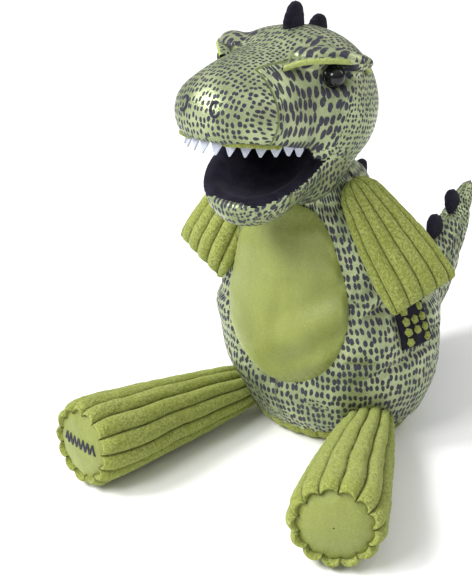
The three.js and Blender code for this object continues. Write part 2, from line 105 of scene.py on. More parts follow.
def set_attribute(piece, name, values):
    """Stores one number or one vector per vertex."""
    values = np.asarray(values, np.float32)
    kind = "FLOAT_VECTOR" if values.ndim == 2 else "FLOAT"
    attribute = piece.data.attributes.new(name, kind, "POINT")
    attribute.data.foreach_set("vector" if values.ndim == 2 else "value", values.ravel())


def set_print(piece, chart_a, chart_b, seam, coarse, lip):
    """Stores what the scale print reads: two flat charts in metres, and three numbers per vertex."""
    names = ("chart_a", "chart_b", "seam", "coarse", "lip")
    for name, values in zip(names, (chart_a, chart_b, seam, coarse, lip)):
        set_attribute(piece, name, values)


def grid_faces(rows, columns, closed=True):
    """Quads between rows of points; each row closes on itself if closed."""
    across = columns if closed else columns - 1
    i, j = np.meshgrid(np.arange(rows - 1), np.arange(across), indexing="ij")
    i, j = i.ravel(), j.ravel()
    k = (j + 1) % columns
    return np.stack([i * columns + j, i * columns + k, (i + 1) * columns + k, (i + 1) * columns + j], 1)


def noise3(points, size, seed=0, octaves=2):
    """Smooth value noise from about -1 to 1, with features of about the given size."""
    total = np.zeros(len(points))
    strength, reach = 1.0, 0.0
    for octave in range(octaves):
        q = points / size * 2 ** octave + seed * 17.31
        base = np.floor(q).astype(np.int64)
        t = q - base
        t = t * t * (3 - 2 * t)
        value = np.zeros(len(points))
        for corner in range(8):
            offset = np.array([corner & 1, corner >> 1 & 1, corner >> 2 & 1])
            c = base + offset
            h = (c[:, 0] * 73856093 ^ c[:, 1] * 19349663 ^ c[:, 2] * 83492791) & 0xFFFFFF
            h = (h * 2654435761 & 0xFFFFFFFF) / 0xFFFFFFFF * 2 - 1
            value += h * np.prod(np.where(offset, t, 1 - t), axis=1)
        total += strength * value
        reach += strength
        strength *= 0.5
    return total / reach


def smooth_step(low, high, x):
    t = np.clip((x - low) / (high - low), 0, 1)
    return t * t * (3 - 2 * t)


def smooth_min(a, b, k):
    h = np.clip(0.5 + 0.5 * (b - a) / k, 0, 1)
    return b * (1 - h) + a * h - k * h * (1 - h)


def smooth_max(a, b, k):
    return -smooth_min(-a, -b, k)


def ellipsoid_field(p, centre, size):
    """A signed distance, near enough, to an ellipsoid."""
    q = (p - np.array(centre, float)) / np.array(size, float)
    k0 = np.linalg.norm(q, axis=-1)
    k1 = np.linalg.norm(q / np.array(size, float), axis=-1)
    return k0 * (k0 - 1) / np.maximum(k1, 1e-6)


def surface_net(field, low, high, step):
    """The zero surface of a field as vertices and outward quads."""
    low, high = np.array(low, float), np.array(high, float)
    counts = np.ceil((high - low) / step).astype(int) + 1
    axes = [low[i] + step * np.arange(counts[i]) for i in range(3)]
    grid = np.stack(np.meshgrid(*axes, indexing="ij"), -1)
    f = field(grid.reshape(-1, 3)).reshape(counts)
    inside = f < 0
    cells = tuple(counts - 1)
    total = np.zeros(cells + (3,))
    crossings = np.zeros(cells)
    corners = [np.array([c & 1, c >> 1 & 1, c >> 2 & 1]) for c in range(8)]

    def view(a, c):
        return a[c[0]:c[0] + cells[0], c[1]:c[1] + cells[1], c[2]:c[2] + cells[2]]

    for a in range(8):
        for axis in range(3):
            if a >> axis & 1:
                continue
            ca = corners[a]
            cb = corners[a | 1 << axis]
            fa, fb = view(f, ca), view(f, cb)
            cross = view(inside, ca) != view(inside, cb)
            t = np.where(cross, fa / np.where(cross, fa - fb, 1), 0)
            for k in range(3):
                total[..., k] += np.where(cross, ca[k] + t * (cb[k] - ca[k]), 0)
            crossings += cross
    active = crossings > 0
    index = -np.ones(cells, int)
    index[active] = np.arange(active.sum())
    where = np.argwhere(active)
    points = low + step * (where + total[active] / crossings[active][:, None])
    faces = []
    for axis in range(3):
        u, v = [(1, 2), (2, 0), (0, 1)][axis]
        head = [slice(None)] * 3
        head[axis] = slice(0, -1)
        tail = [slice(None)] * 3
        tail[axis] = slice(1, None)
        cross = inside[tuple(head)] != inside[tuple(tail)]
        outward = inside[tuple(head)]
        spots = np.argwhere(cross)
        for w in (u, v):
            spots = spots[(spots[:, w] > 0) & (spots[:, w] < counts[w] - 1)]
        eu, ev = np.eye(3, dtype=int)[u], np.eye(3, dtype=int)[v]
        round_edge = ((1, 1), (0, 1), (0, 0), (1, 0))
        quad = np.stack([index[tuple((spots - a * eu - b * ev).T)] for a, b in round_edge], 1)
        flip = ~outward[tuple(spots.T)]
        quad[flip] = quad[flip][:, ::-1]
        faces.append(quad)
    return points, np.concatenate(faces)


def relax(points, faces, field, rounds=3, step=0.8):
    """Evens out the vertices of a surface while keeping them on the field's zero surface."""
    edges = np.concatenate([faces[:, [i, (i + 1) % 4]] for i in range(4)])
    for _ in range(rounds):
        total = np.zeros_like(points)
        count = np.zeros(len(points))
        np.add.at(total, edges[:, 0], points[edges[:, 1]])
        np.add.at(total, edges[:, 1], points[edges[:, 0]])
        np.add.at(count, edges[:, 0], 1)
        np.add.at(count, edges[:, 1], 1)
        points = points * (1 - step) + step * total / count[:, None]
        slope = gradient(field, points)
        points = points - slope * field(points)[:, None] / np.maximum((slope ** 2).sum(1), 0.05)[:, None]
    return points


def gradient(field, points, d=0.25):
    return np.stack([
        (field(points + d * e) - field(points - d * e)) / (2 * d) for e in np.eye(3)], 1)


def subset(points, faces, keep):
    """The chosen faces with only the points they use, and the old number of each point."""
    chosen = faces[keep]
    used, renamed = np.unique(chosen, return_inverse=True)
    return points[used], renamed.reshape(chosen.shape), used


def turn_x(p, angle):
    c, s = math.cos(angle), math.sin(angle)
    return np.stack([p[..., 0], c * p[..., 1] - s * p[..., 2], s * p[..., 1] + c * p[..., 2]], -1)


def in_head(p):
    return turn_x(p - MOUTH, -HEAD_TILT)


def in_jaw(p):
    return turn_x(p - MOUTH, -JAW_TILT)


def from_head(p):
    return turn_x(np.asarray(p, float), HEAD_TILT) + MOUTH


# ---------------------------------------------------------------- materials

def new_material(name):
    material = bpy.data.materials.new(name)
    material.use_nodes = True
    nodes = material.node_tree.nodes
    nodes.clear()
    output = nodes.new("ShaderNodeOutputMaterial")
    shader = nodes.new("ShaderNodeBsdfPrincipled")
    material.node_tree.links.new(shader.outputs[0], output.inputs[0])
    return material, Nodes(material.node_tree), shader


class Nodes:
    """Short ways to add and join shader nodes."""

    def __init__(self, tree):
        self.tree = tree

    def link(self, source, target):
        self.tree.links.new(source, target)

    def node(self, kind, **settings):
        made = self.tree.nodes.new(kind)
        for key, value in settings.items():
            setattr(made, key, value)
        return made

    def put(self, socket, value):
        if hasattr(value, "is_output"):
            self.link(value, socket)
        else:
            socket.default_value = value

    def attribute(self, name, output="Fac"):
        return self.node("ShaderNodeAttribute", attribute_name=name).outputs[output]

    def place(self):
        return self.node("ShaderNodeTexCoord").outputs["Object"]

    def math(self, operation, a, b=0.0, c=0.0, clamp=False):
        made = self.node("ShaderNodeMath", operation=operation, use_clamp=clamp)
        for socket, value in zip(made.inputs, (a, b, c)):
            self.put(socket, value)
        return made.outputs[0]

    def vector(self, operation, a, b=(0, 0, 0), scale=1.0):
        made = self.node("ShaderNodeVectorMath", operation=operation)
        self.put(made.inputs[0], a)
        self.put(made.inputs[1], b)
        if operation == "SCALE":
            self.put(made.inputs["Scale"], scale)
        return made.outputs[0]

    def noise(self, place, scale, detail=2.0, roughness=0.5, distortion=0.0, output=0):
        made = self.node("ShaderNodeTexNoise")
        self.put(made.inputs["Vector"], place)
        self.put(made.inputs["Scale"], scale)
        self.put(made.inputs["Detail"], detail)
        self.put(made.inputs["Roughness"], roughness)
        self.put(made.inputs["Distortion"], distortion)
        return made.outputs[output]

    def voronoi(self, place, scale, feature="F1", randomness=1.0, output="Distance", dimensions="3D"):
        made = self.node("ShaderNodeTexVoronoi", feature=feature, voronoi_dimensions=dimensions)
        self.put(made.inputs["Vector"], place)
        self.put(made.inputs["Scale"], scale)
        self.put(made.inputs["Randomness"], randomness)
        return made.outputs[output]

    def ramp(self, value, low, high, out_low=0.0, out_high=1.0, smooth=True):
        made = self.node("ShaderNodeMapRange", interpolation_type="SMOOTHSTEP" if smooth else "LINEAR")
        for socket, number in zip(made.inputs, (value, low, high, out_low, out_high)):
            self.put(socket, number)
        return made.outputs[0]

    def mix(self, factor, a, b):
        made = self.node("ShaderNodeMix", data_type="RGBA")
        self.put(made.inputs[0], factor)
        self.put(made.inputs[6], a if hasattr(a, "is_output") else (*a, 1))
        self.put(made.inputs[7], b if hasattr(b, "is_output") else (*b, 1))
        return made.outputs[2]

    def blend(self, factor, a, b):
        made = self.node("ShaderNodeMix", data_type="FLOAT")
        for i, value in ((0, factor), (2, a), (3, b)):
            self.put(made.inputs[i], value)
        return made.outputs[0]

    def bump(self, height, distance, strength=1.0, normal=None):
        made = self.node("ShaderNodeBump")
        made.inputs["Strength"].default_value = strength
        made.inputs["Distance"].default_value = distance
        self.put(made.inputs["Height"], height)
        if normal is not None:
            self.link(normal, made.inputs["Normal"])
        return made.outputs[0]


def scale_print():
    """Thin knit printed with dark scales on a light foil. The attributes chart_a and chart_b are the cloth's flat
    coordinates on either side of a seam, seam is the distance to it, and coarse makes the scales larger."""
    material, n, shader = new_material("scale_print")
    seam = n.attribute("seam")
    side = n.ramp(seam, -0.0001, 0.0001)
    chart_mix = n.node("ShaderNodeMix", data_type="VECTOR")
    n.put(chart_mix.inputs[0], side)
    n.put(chart_mix.inputs[4], n.attribute("chart_a", "Vector"))
    n.put(chart_mix.inputs[5], n.attribute("chart_b", "Vector"))
    chart = chart_mix.outputs[1]
    wobble = n.vector("SUBTRACT", n.noise(chart, 160, 1, output="Color"), (0.5, 0.5, 0.5))
    chart = n.vector("ADD", chart, n.vector("SCALE", wobble, scale=0.002))
    swell = n.ramp(n.noise(n.place(), 130, 2), 0.3, 0.7, -0.03, 0.03, False)
    layers = []
    for size, stretch, radius in ((0.0024, 0.75, 0.33), (0.003, 0.52, 0.37), (0.0042, 0.55, 0.39)):
        cells = n.voronoi(n.vector("MULTIPLY", chart, (1, stretch, 1)), 1 / size, "F1", 0.46, dimensions="2D")
        layers.append(n.ramp(n.math("ADD", cells, swell), radius - 0.04, radius + 0.05, 1, 0))
    coarse_noise = n.ramp(n.noise(n.place(), 34, 1), 0.3, 0.7, -0.18, 0.18, False)
    coarse = n.math("ADD", n.attribute("coarse"), coarse_noise)
    spots = n.blend(n.ramp(coarse, 0.36, 0.38), layers[0], layers[1])
    spots = n.blend(n.ramp(coarse, 0.7, 0.72), spots, layers[2])
    print_wear = n.ramp(n.noise(n.place(), 420, 3), 0.3, 0.72)
    spots = n.math("MULTIPLY", spots, n.ramp(print_wear, 0, 0.2, 0.86, 1))
    patchy = n.noise(n.place(), 55, 3)
    net = n.mix(n.ramp(patchy, 0.3, 0.7), (0.2, 0.25, 0.11), (0.36, 0.42, 0.22))
    foil_grain = n.noise(n.place(), 2600, 2)
    net = n.mix(n.ramp(foil_grain, 0.4, 0.75, 0, 0.4), net, (0.72, 0.77, 0.55))
    dark = n.mix(print_wear, (0.012, 0.012, 0.026), (0.03, 0.031, 0.055))
    color = n.mix(spots, net, dark)
    groove = n.ramp(n.math("ABSOLUTE", seam), 0.0002, 0.0011)
    color = n.mix(groove, (0.16, 0.2, 0.06), color)
    lip = n.attribute("lip")
    fuzz_edge = n.noise(n.place(), 900, 2)
    lip_mask = n.ramp(n.math("ADD", lip, n.math("MULTIPLY", fuzz_edge, 0.5)), 0.62, 0.9)
    color = n.mix(lip_mask, color, n.mix(fuzz_edge, (0.2, 0.25, 0.05), (0.5, 0.56, 0.2)))
    n.link(color, shader.inputs["Base Color"])
    rough = n.blend(spots, n.ramp(foil_grain, 0.3, 0.7, 0.3, 0.44, False), 0.6)
    n.link(n.blend(lip_mask, rough, 0.95), shader.inputs["Roughness"])
    metal = n.blend(spots, 0.5, 0.0)
    n.link(n.blend(lip_mask, metal, 0.0), shader.inputs["Metallic"])
    knit = n.voronoi(n.place(), 1500, "F1", 0.6)
    height = n.math("ADD", n.math("MULTIPLY", spots, 0.4), n.math("MULTIPLY", knit, 0.25))
    height = n.math("ADD", height, n.math("MULTIPLY", groove, 2.0))
    height = n.math("ADD", height, n.math("MULTIPLY", lip_mask, n.math("MULTIPLY", fuzz_edge, 2.0)))
    n.link(n.bump(height, 0.0004, 0.8), shader.inputs["Normal"])
    return material


def corduroy():
    """Plush wide-wale corduroy. The attribute rib is 1 on top of a wale and 0 in the hollow between two; the
    hollows are coloured near-black as painted shade.
    """
    material, n, shader = new_material("corduroy")
    place = n.place()
    rib = n.attribute("rib")
    clumps = n.noise(place, 650, 3, 0.65)
    pile = n.noise(place, 1900, 2, 0.6)
    tone = n.mix(n.ramp(clumps, 0.35, 0.68), (0.15, 0.175, 0.026), (0.35, 0.39, 0.1))
    tone = n.mix(n.ramp(pile, 0.4, 0.75, 0, 0.5), tone, (0.55, 0.6, 0.25))
    tone = n.mix(n.ramp(pile, 0.45, 0.25, 0, 0.5), tone, (0.1, 0.12, 0.01))
    patches = n.noise(place, 60, 2)
    tone = n.mix(n.ramp(patches, 0.35, 0.7, 0, 0.35), tone, (0.24, 0.27, 0.04))
    # painted shade: near-black colour in the hollows between wales, where shade falls, set by the rib attribute
    painted_wale_shade = n.ramp(n.math("ADD", rib, n.math("MULTIPLY", pile, 0.12)), 0.12, 0.62)
    color = n.mix(painted_wale_shade, (0.03, 0.036, 0.003), tone)
    n.link(color, shader.inputs["Base Color"])
    shader.inputs["Roughness"].default_value = 1.0
    shader.inputs["Specular IOR Level"].default_value = 0.1
    shader.inputs["Sheen Weight"].default_value = 0.3
    shader.inputs["Sheen Roughness"].default_value = 0.5
    shader.inputs["Sheen Tint"].default_value = (0.8, 0.9, 0.4, 1)
    nap = n.voronoi(place, 900, "SMOOTH_F1")
    height = n.math("ADD", clumps, n.math("MULTIPLY", pile, 0.45))
    height = n.math("SUBTRACT", height, n.math("MULTIPLY", nap, 0.4))
    n.link(n.bump(height, 0.0011, 0.85), shader.inputs["Normal"])
    return material


def velour(name, low, high, sheen_tint):
    """Short pile with a soft sheen that follows its folds."""
    material, n, shader = new_material(name)
    place = n.place()
    speckle = n.noise(place, 1300, 3, 0.65)
    brushed = n.noise(n.vector("MULTIPLY", place, (1, 1, 0.35)), 90, 3)
    color = n.mix(n.ramp(brushed, 0.3, 0.7, 0.35, 0.65), low, high)
    color = n.mix(n.ramp(speckle, 0.5, 0.8, 0, 0.6), color, tuple(min(1, c * 1.5) for c in high))
    color = n.mix(n.ramp(speckle, 0.4, 0.2, 0, 0.6), color, tuple(c * 0.55 for c in low))
    n.link(color, shader.inputs["Base Color"])
    n.link(n.ramp(brushed, 0.3, 0.7, 0.36, 0.42, False), shader.inputs["Roughness"])
    shader.inputs["Specular IOR Level"].default_value = 0.6
    shader.inputs["Sheen Weight"].default_value = 0.6
    shader.inputs["Sheen Roughness"].default_value = 0.35
    shader.inputs["Sheen Tint"].default_value = (*sheen_tint, 1)
    height = n.math("ADD", speckle, n.math("MULTIPLY", n.noise(place, 350, 2), 0.8))
    n.link(n.bump(height, 0.0005, 0.7), shader.inputs["Normal"])
    return material


def dark_felt():
    """Near-black velvety felt with a fine nap."""
    material, n, shader = new_material("dark_felt")
    place = n.place()
    nap = n.noise(place, 1700, 3, 0.7)
    broad = n.noise(place, 120, 2)
    color = n.mix(n.ramp(nap, 0.35, 0.75), (0.006, 0.005, 0.009), (0.022, 0.02, 0.034))
    color = n.mix(n.ramp(broad, 0.4, 0.7, 0, 0.4), color, (0.03, 0.028, 0.045))
    n.link(color, shader.inputs["Base Color"])
    shader.inputs["Roughness"].default_value = 1.0
    shader.inputs["Specular IOR Level"].default_value = 0.12
    shader.inputs["Sheen Weight"].default_value = 0.12
    shader.inputs["Sheen Roughness"].default_value = 0.4
    shader.inputs["Sheen Tint"].default_value = (0.5, 0.5, 0.65, 1)
    n.link(n.bump(nap, 0.0004, 0.8), shader.inputs["Normal"])
    return material


def plain_felt(name, low, high):
    """Pressed felt, thread or woven tape."""
    material, n, shader = new_material(name)
    place = n.place()
    fibre = n.noise(place, 1100, 4, 0.7, 0.6)
    color = n.mix(n.ramp(fibre, 0.35, 0.7), low, high)
    n.link(color, shader.inputs["Base Color"])
    shader.inputs["Roughness"].default_value = 0.85
    shader.inputs["Specular IOR Level"].default_value = 0.2
    shader.inputs["Sheen Weight"].default_value = 0.2
    n.link(n.bump(fibre, 0.0003, 0.6), shader.inputs["Normal"])
    return material


def glossy(name, color, roughness, metallic=0.0):
    """Moulded plastic or lacquered metal with faint handling marks."""
    material, n, shader = new_material(name)
    place = n.place()
    marks = n.noise(place, 240, 4, 0.6)
    n.link(n.mix(n.ramp(marks, 0.4, 0.8, 0, 0.3), color, tuple(min(1, c * 1.6 + 0.004) for c in color)),
           shader.inputs["Base Color"])
    n.link(n.ramp(marks, 0.35, 0.75, roughness, roughness * 1.5 + 0.02, False), shader.inputs["Roughness"])
    shader.inputs["Metallic"].default_value = metallic
    shader.inputs["Specular IOR Level"].default_value = 0.4
    n.link(n.bump(n.noise(place, 900, 2), 0.00004, 0.4), shader.inputs["Normal"])
    return material


SCALE = scale_print()
CORD = corduroy()
VELOUR = velour("velour", (0.15, 0.175, 0.025), (0.27, 0.31, 0.065), (0.85, 0.95, 0.5))
FELT = dark_felt()
TEETH = plain_felt("white_felt", (0.42, 0.45, 0.54), (0.58, 0.61, 0.7))
THREAD = plain_felt("dark_thread", (0.02, 0.02, 0.035), (0.05, 0.05, 0.08))
EYE = glossy("eye_plastic", (0.003, 0.003, 0.004), 0.07)
NYLON = glossy("clear_nylon", (0.55, 0.55, 0.52), 0.35)
ZIP_METAL = glossy("zip_metal", (0.3, 0.3, 0.31), 0.28, 0.9)


# ---------------------------------------------------------------- head, jaw and mouth

def turn_z(p, angle):
    c, s = math.cos(angle), math.sin(angle)
    return np.stack([c * p[..., 0] - s * p[..., 1], s * p[..., 0] + c * p[..., 1], p[..., 2]], -1)


def lip_drop(y):
    """How much lower the upper lip hangs towards the corner of the mouth, in the head's frame."""
    return 7.5 * np.exp(-((y + 14) / 15) ** 2)


def head_field(p):
    """The stuffed head and jaw as one surface, hollowed by the mouth and dimpled at the eyes."""
    h = in_head(p)
    x = np.abs(h[..., 0])
    m = np.stack([x, h[..., 1], h[..., 2]], -1)
    skull = ellipsoid_field(m, (0, 16, 24), (46, 37, 41))
    forehead = ellipsoid_field(m, (0, -1, 34), (45, 33, 31))
    snout = ellipsoid_field(m, (0, -34, 12), (36, 50, 27))
    nose = ellipsoid_field(m, (0, -57, 17), (29, 30, 22))
    bridge = ellipsoid_field(m, (0, -30, 30), (27, 32, 20))
    at_ridge = turn_z(m - np.array([35.0, -14.0, 50.0]), math.radians(33))
    ridge = ellipsoid_field(at_ridge, (0, 0, 0), (9, 25, 7))
    cheek = ellipsoid_field(m, (26, 9, 12), (20, 25, 24))
    f = smooth_min(skull, forehead, 8)
    f = smooth_min(f, cheek, 12)
    s = smooth_min(snout, nose, 12)
    f = smooth_min(f, s, 13)
    f = smooth_min(f, bridge, 14)
    f = smooth_min(f, ridge, 5)
    j = in_jaw(p)
    n = np.stack([np.abs(j[..., 0]), j[..., 1], j[..., 2]], -1)
    scoop = ellipsoid_field(n, (0, -22, 2), (36, 42, 30))
    scoop = smooth_max(scoop, n[..., 2] - 0.5, 5)
    chin = ellipsoid_field(n, (0, -40, -10), (25, 24, 16))
    scoop = smooth_min(scoop, smooth_max(chin, n[..., 2] - 0.5, 5), 8)
    throat = ellipsoid_field(m, (0, 12, -8), (36, 26, 34))
    lower = smooth_min(scoop, throat, 14)
    f = smooth_min(f, lower, 9)
    palate = ellipsoid_field(m, (0, -36, -6), (31, 44, 13))
    floor = ellipsoid_field(n, (0, -26, 8), (31, 33, 19))
    wedge = smooth_max(m[..., 2] + lip_drop(m[..., 1]), -n[..., 2], 1.0)
    cavity = smooth_min(smooth_min(wedge, palate, 3), floor, 3)
    cavity = smooth_max(cavity, m[..., 1] - 2, 2)
    f = smooth_max(f, -cavity, 2.2)
    pit_at = np.stack([m[..., 0] - 41, m[..., 1] + 17, m[..., 2] - 42], -1)
    pit = np.linalg.norm(pit_at / np.array([0.9, 1.25, 1.0]), axis=-1) - 9
    f = smooth_max(f, -pit, 5)
    return f


def head_charts(points, tilt_frame, top_z, seam_y):
    """The cloth's flat coordinates on the top and on the sides, and the distance to the seam between them."""
    h = tilt_frame(points)
    x, y, z = h.T
    around = np.arctan2(z - 8, -(y + 30)) * 42
    chart_a = np.stack([x, around, np.zeros(len(x))], 1)
    chart_b = np.stack([y + np.sign(x) * 300, z, np.zeros(len(x))], 1)
    edge = top_z(y)
    seam = np.minimum(np.abs(x) - edge, y - seam_y)
    return chart_a / 1000, chart_b / 1000, seam / 1000


def build_head():
    step = 1.3
    points, faces = surface_net(head_field, (-56, -162, 158), (56, 12, 288), step)
    points = relax(points, faces, head_field, 4)
    centres = points[faces].mean(1)
    h = in_head(centres)
    j = in_jaw(centres)
    slope = units(gradient(head_field, centres))
    hn = turn_x(slope, -HEAD_TILT)
    jn = turn_x(slope, -JAW_TILT)
    narrow = np.abs(h[:, 0]) < 47
    under_lip = (hn[:, 2] < -0.8) & (h[:, 2] < 6) & (h[:, 2] > -2 - lip_drop(h[:, 1])) & (h[:, 1] < 8)
    on_floor = (jn[:, 2] > 0.35) & (j[:, 2] < 1.5) & (j[:, 2] > -16) & (j[:, 1] < 6)
    in_mouth = (h[:, 2] < 10) & (j[:, 2] > -16) & (h[:, 1] < 12) & (h[:, 1] > -76)
    facing_in = (slope * (centres - (MOUTH + np.array([0, -30, 2])))).sum(1) < 0
    lining = (under_lip | on_floor | (in_mouth & facing_in)) & narrow & (j[:, 1] > -60)
    jaw = (~lining) & (j[:, 2] < 6) & (j[:, 1] < 3) & (h[:, 2] < 1)
    skin = (~lining) & (~jaw)
    normals_at = units(gradient(head_field, points))
    wrinkle = noise3(points, 26, 3) * 0.5 + noise3(points, 9, 5) * 0.14
    in_lining = np.zeros(len(points), bool)
    in_lining[faces[lining].ravel()] = True
    points = points + normals_at * (wrinkle * np.where(in_lining, 0.3, 1))[:, None]
    loop, on_border = mouth_edge(points, faces, lining)
    tree = KDTree(len(loop))
    for i, at in enumerate(loop):
        tree.insert(at, i)
    tree.balance()
    distance = np.empty(len(points))
    for i, at in enumerate(points):
        near, _, distance[i] = tree.find(at)
        if on_border[i] and distance[i] < 6:
            points[i] = near
    lip = np.clip(1 - distance / 2.6, 0, 1)
    made = {}
    for name, chosen, material in (
        ("head_cloth", skin, SCALE),
        ("jaw_cloth", jaw, SCALE),
        ("mouth_lining", lining, FELT),
    ):
        sub_points, sub_faces, used = subset(points, faces, chosen)
        piece = make_mesh(name, sub_points, sub_faces, material)
        if material is SCALE:
            hx, hy, hz = in_head(sub_points).T
            if name == "head_cloth":
                chart_a, chart_b, seam = head_charts(
                    sub_points, in_head, lambda y: 14 + 14 * smooth_step(-62, 0, y), -58)
                seam = np.where(hz > 50, -0.02, seam)
                cheek = smooth_step(-64, -50, hy) * (1 - smooth_step(-16, 4, hy))
                coarse = cheek * smooth_step(12, 24, np.abs(hx))
            else:
                chart_a, chart_b, seam = head_charts(sub_points, in_jaw, lambda y: 0 * y - 5, -42)
                coarse = 0.45 + 0 * hx
            set_print(piece, chart_a, chart_b, seam, coarse, lip[used])
        made[name] = piece
    upper = np.abs(in_head(loop)[:, 2]) < np.abs(in_jaw(loop)[:, 2])
    made["lip_edge"] = edge_roll("lip_edge", loop, upper, 1.3, 81)
    made["jaw_edge"] = edge_roll("jaw_edge", loop, ~upper, 1.2, 82)
    return made


def mouth_edge(points, faces, lining):
    """The line where skin and lining meet round the mouth, smoothed, and which vertices lie on it."""
    ahead = {}
    outside = set()
    for face, inside in zip(faces.tolist(), lining):
        for u, v in zip(face, face[1:] + face[:1]):
            if inside:
                ahead[(u, v)] = True
            else:
                outside.add((v, u))
    follow = {u: v for u, v in ahead if (u, v) in outside}
    on_border = np.zeros(len(points), bool)
    on_border[list(follow)] = True
    best = []
    left = set(follow)
    while left:
        start = left.pop()
        chain = [start]
        at = follow[start]
        while at in left:
            left.discard(at)
            chain.append(at)
            at = follow[at]
        if len(chain) > len(best):
            best = chain
    closed = points[best + best[:1]]
    length = run_length(closed)
    s = np.arange(0, length[-1], 0.5)
    loop = np.stack([np.interp(s, length, closed[:, k]) for k in range(3)], 1)
    for _ in range(3):
        wide = np.vstack([loop[-6:], loop, loop[:6]])
        loop = sum(wide[i:i + len(loop)] for i in range(13)) / 13
    return loop, on_border


def edge_roll(name, loop, chosen, radius, seed):
    """A fuzzy rolled edge of cloth along part of a closed line."""
    order = np.arange(len(loop))
    first = int(np.flatnonzero(chosen & ~np.roll(chosen, 1))[0]) if (~chosen).any() else 0
    order = np.roll(order, -first)
    runs = [i for i in order if chosen[i]]
    path = loop[runs]
    along = np.gradient(path, axis=0)
    along /= np.linalg.norm(along, axis=1)[:, None] + 1e-9
    out = gradient(head_field, path)
    out -= (out * along).sum(1)[:, None] * along
    out /= np.linalg.norm(out, axis=1)[:, None] + 1e-9
    side = np.cross(along, out)
    columns = 14
    a = np.linspace(0, 2 * np.pi, columns, endpoint=False)
    taper = np.clip(np.minimum(np.arange(len(path)), np.arange(len(path))[::-1]) / 12, 0.15, 1)
    r = radius * taper[:, None]
    round_path = np.cos(a)[None, :, None] * out[:, None] + np.sin(a)[None, :, None] * side[:, None]
    ring = path[:, None] + r[..., None] * round_path
    points = ring.reshape(-1, 3)
    outward = (ring - path[:, None]).reshape(-1, 3) / (radius * np.repeat(taper, columns))[:, None]
    push = 0.45 * noise3(points, 3.2, seed) + 0.3 * noise3(points, 1.4, seed + 1)
    piece = make_mesh(name, points + outward * push[:, None], grid_faces(len(path), columns), CORD)
    # a rib of 0.42 gives the whole roll part of the corduroy's painted shade from the wale hollows, so it is
    # darker
    set_attribute(piece, "rib", np.full(len(points), 0.42))
    return piece


# ---------------------------------------------------------------- torso

PATCH_ANGLE = math.radians(80)
PATCH_Z = 93
ZIP_ANGLE = math.radians(218)


def torso_radius(z):
    """The pear's radius at a height, rounded off between the profile's points."""
    z = np.asarray(z, float)
    heights = TORSO_PROFILE[1:, 1]
    radii = TORSO_PROFILE[1:, 0]
    fine = np.arange(0, 206.5, 0.5)
    raw = np.interp(fine, np.append(heights, TORSO_TOP), np.append(radii, 6))
    kernel = np.exp(-0.5 * (np.arange(-16, 17) / 7) ** 2)
    padded = np.concatenate([np.full(16, raw[0]), raw, np.full(16, raw[-1])])
    rounded = np.convolve(padded, kernel / kernel.sum(), "valid")
    rounded = np.where(fine < 8, raw, rounded)
    return np.interp(z, fine, rounded)


def torso_lean(z):
    return TORSO_LEAN * np.clip(np.asarray(z, float) / TORSO_TOP, 0, 1) ** 2


def torso_at(angle, z, out=0.0):
    """A point on the torso: the angle is 0 at the front and grows towards the toy's left."""
    r = torso_radius(z) + out
    return np.stack([r * np.sin(angle), -r * np.cos(angle) * TORSO_DEPTH + torso_lean(z), z + 0 * angle], -1)


def belly_outline(a):
    width = 45 * (1 - 0.2 * np.sin(a))
    power = np.where(np.sin(a) > 0, 0.52, 1.0)
    return np.stack([width * np.sign(np.cos(a)) * np.abs(np.cos(a)) ** power, 110 + 60 * np.sin(a)], -1)


def belly_distance(x, z):
    """How far outside the belly panel's outline a point is, by its share of the panel's size."""
    s = (z - 110) / 60
    across = np.abs(x / (45 * (1 - 0.2 * s)))
    across = np.where(s > 0, across ** (1 / 0.52), across)
    return np.hypot(across, s) - 1


def puff(piece, pins, frames=16, pressure=4.0, grow=0.04, cap=4.0, scale=6.0):
    """Blows the cloth up a little between its seams, so that it swells and creases, and keeps the result."""
    mesh = piece.data
    count = len(mesh.vertices)
    rest = np.empty(count * 3)
    mesh.vertices.foreach_get("co", rest)
    rest = rest.reshape(-1, 3)
    mesh.vertices.foreach_set("co", (rest * scale).ravel())
    group = piece.vertex_groups.new(name="pins")
    for weight in np.unique(np.round(pins, 1)):
        if weight > 0:
            group.add([int(i) for i in np.flatnonzero(np.round(pins, 1) == weight)], float(weight), "REPLACE")
    cloth = piece.modifiers.new("cloth", "CLOTH")
    settings = cloth.settings
    settings.quality = 4
    settings.mass = 0.3
    settings.tension_stiffness = 14
    settings.compression_stiffness = 12
    settings.shear_stiffness = 6
    settings.bending_stiffness = 0.6
    settings.use_pressure = True
    settings.uniform_pressure_force = pressure
    settings.shrink_min = -grow
    settings.vertex_group_mass = "pins"
    settings.effector_weights.gravity = 0
    cloth.collision_settings.use_collision = False
    cloth.point_cache.frame_start = 1
    cloth.point_cache.frame_end = frames
    scene = bpy.context.scene
    for f in range(1, frames + 1):
        scene.frame_set(f)
    made = piece.evaluated_get(bpy.context.evaluated_depsgraph_get())
    moved = np.empty(count * 3)
    made.data.vertices.foreach_get("co", moved)
    moved = moved.reshape(-1, 3) / scale
    shift = moved - rest
    length = np.linalg.norm(shift, axis=1)
    limit = cap / 1000
    shift *= (limit * np.tanh(length / limit) / np.maximum(length, 1e-9))[:, None]
    piece.modifiers.remove(cloth)
    piece.vertex_groups.clear()
    mesh.vertices.foreach_set("co", (rest + shift).ravel())
    mesh.update()
    scene.frame_set(1)


def crease(d, width):
    """A soft groove's depth, from 0 to 1, at a distance from its line."""
    return np.exp(-(d / width) ** 2)


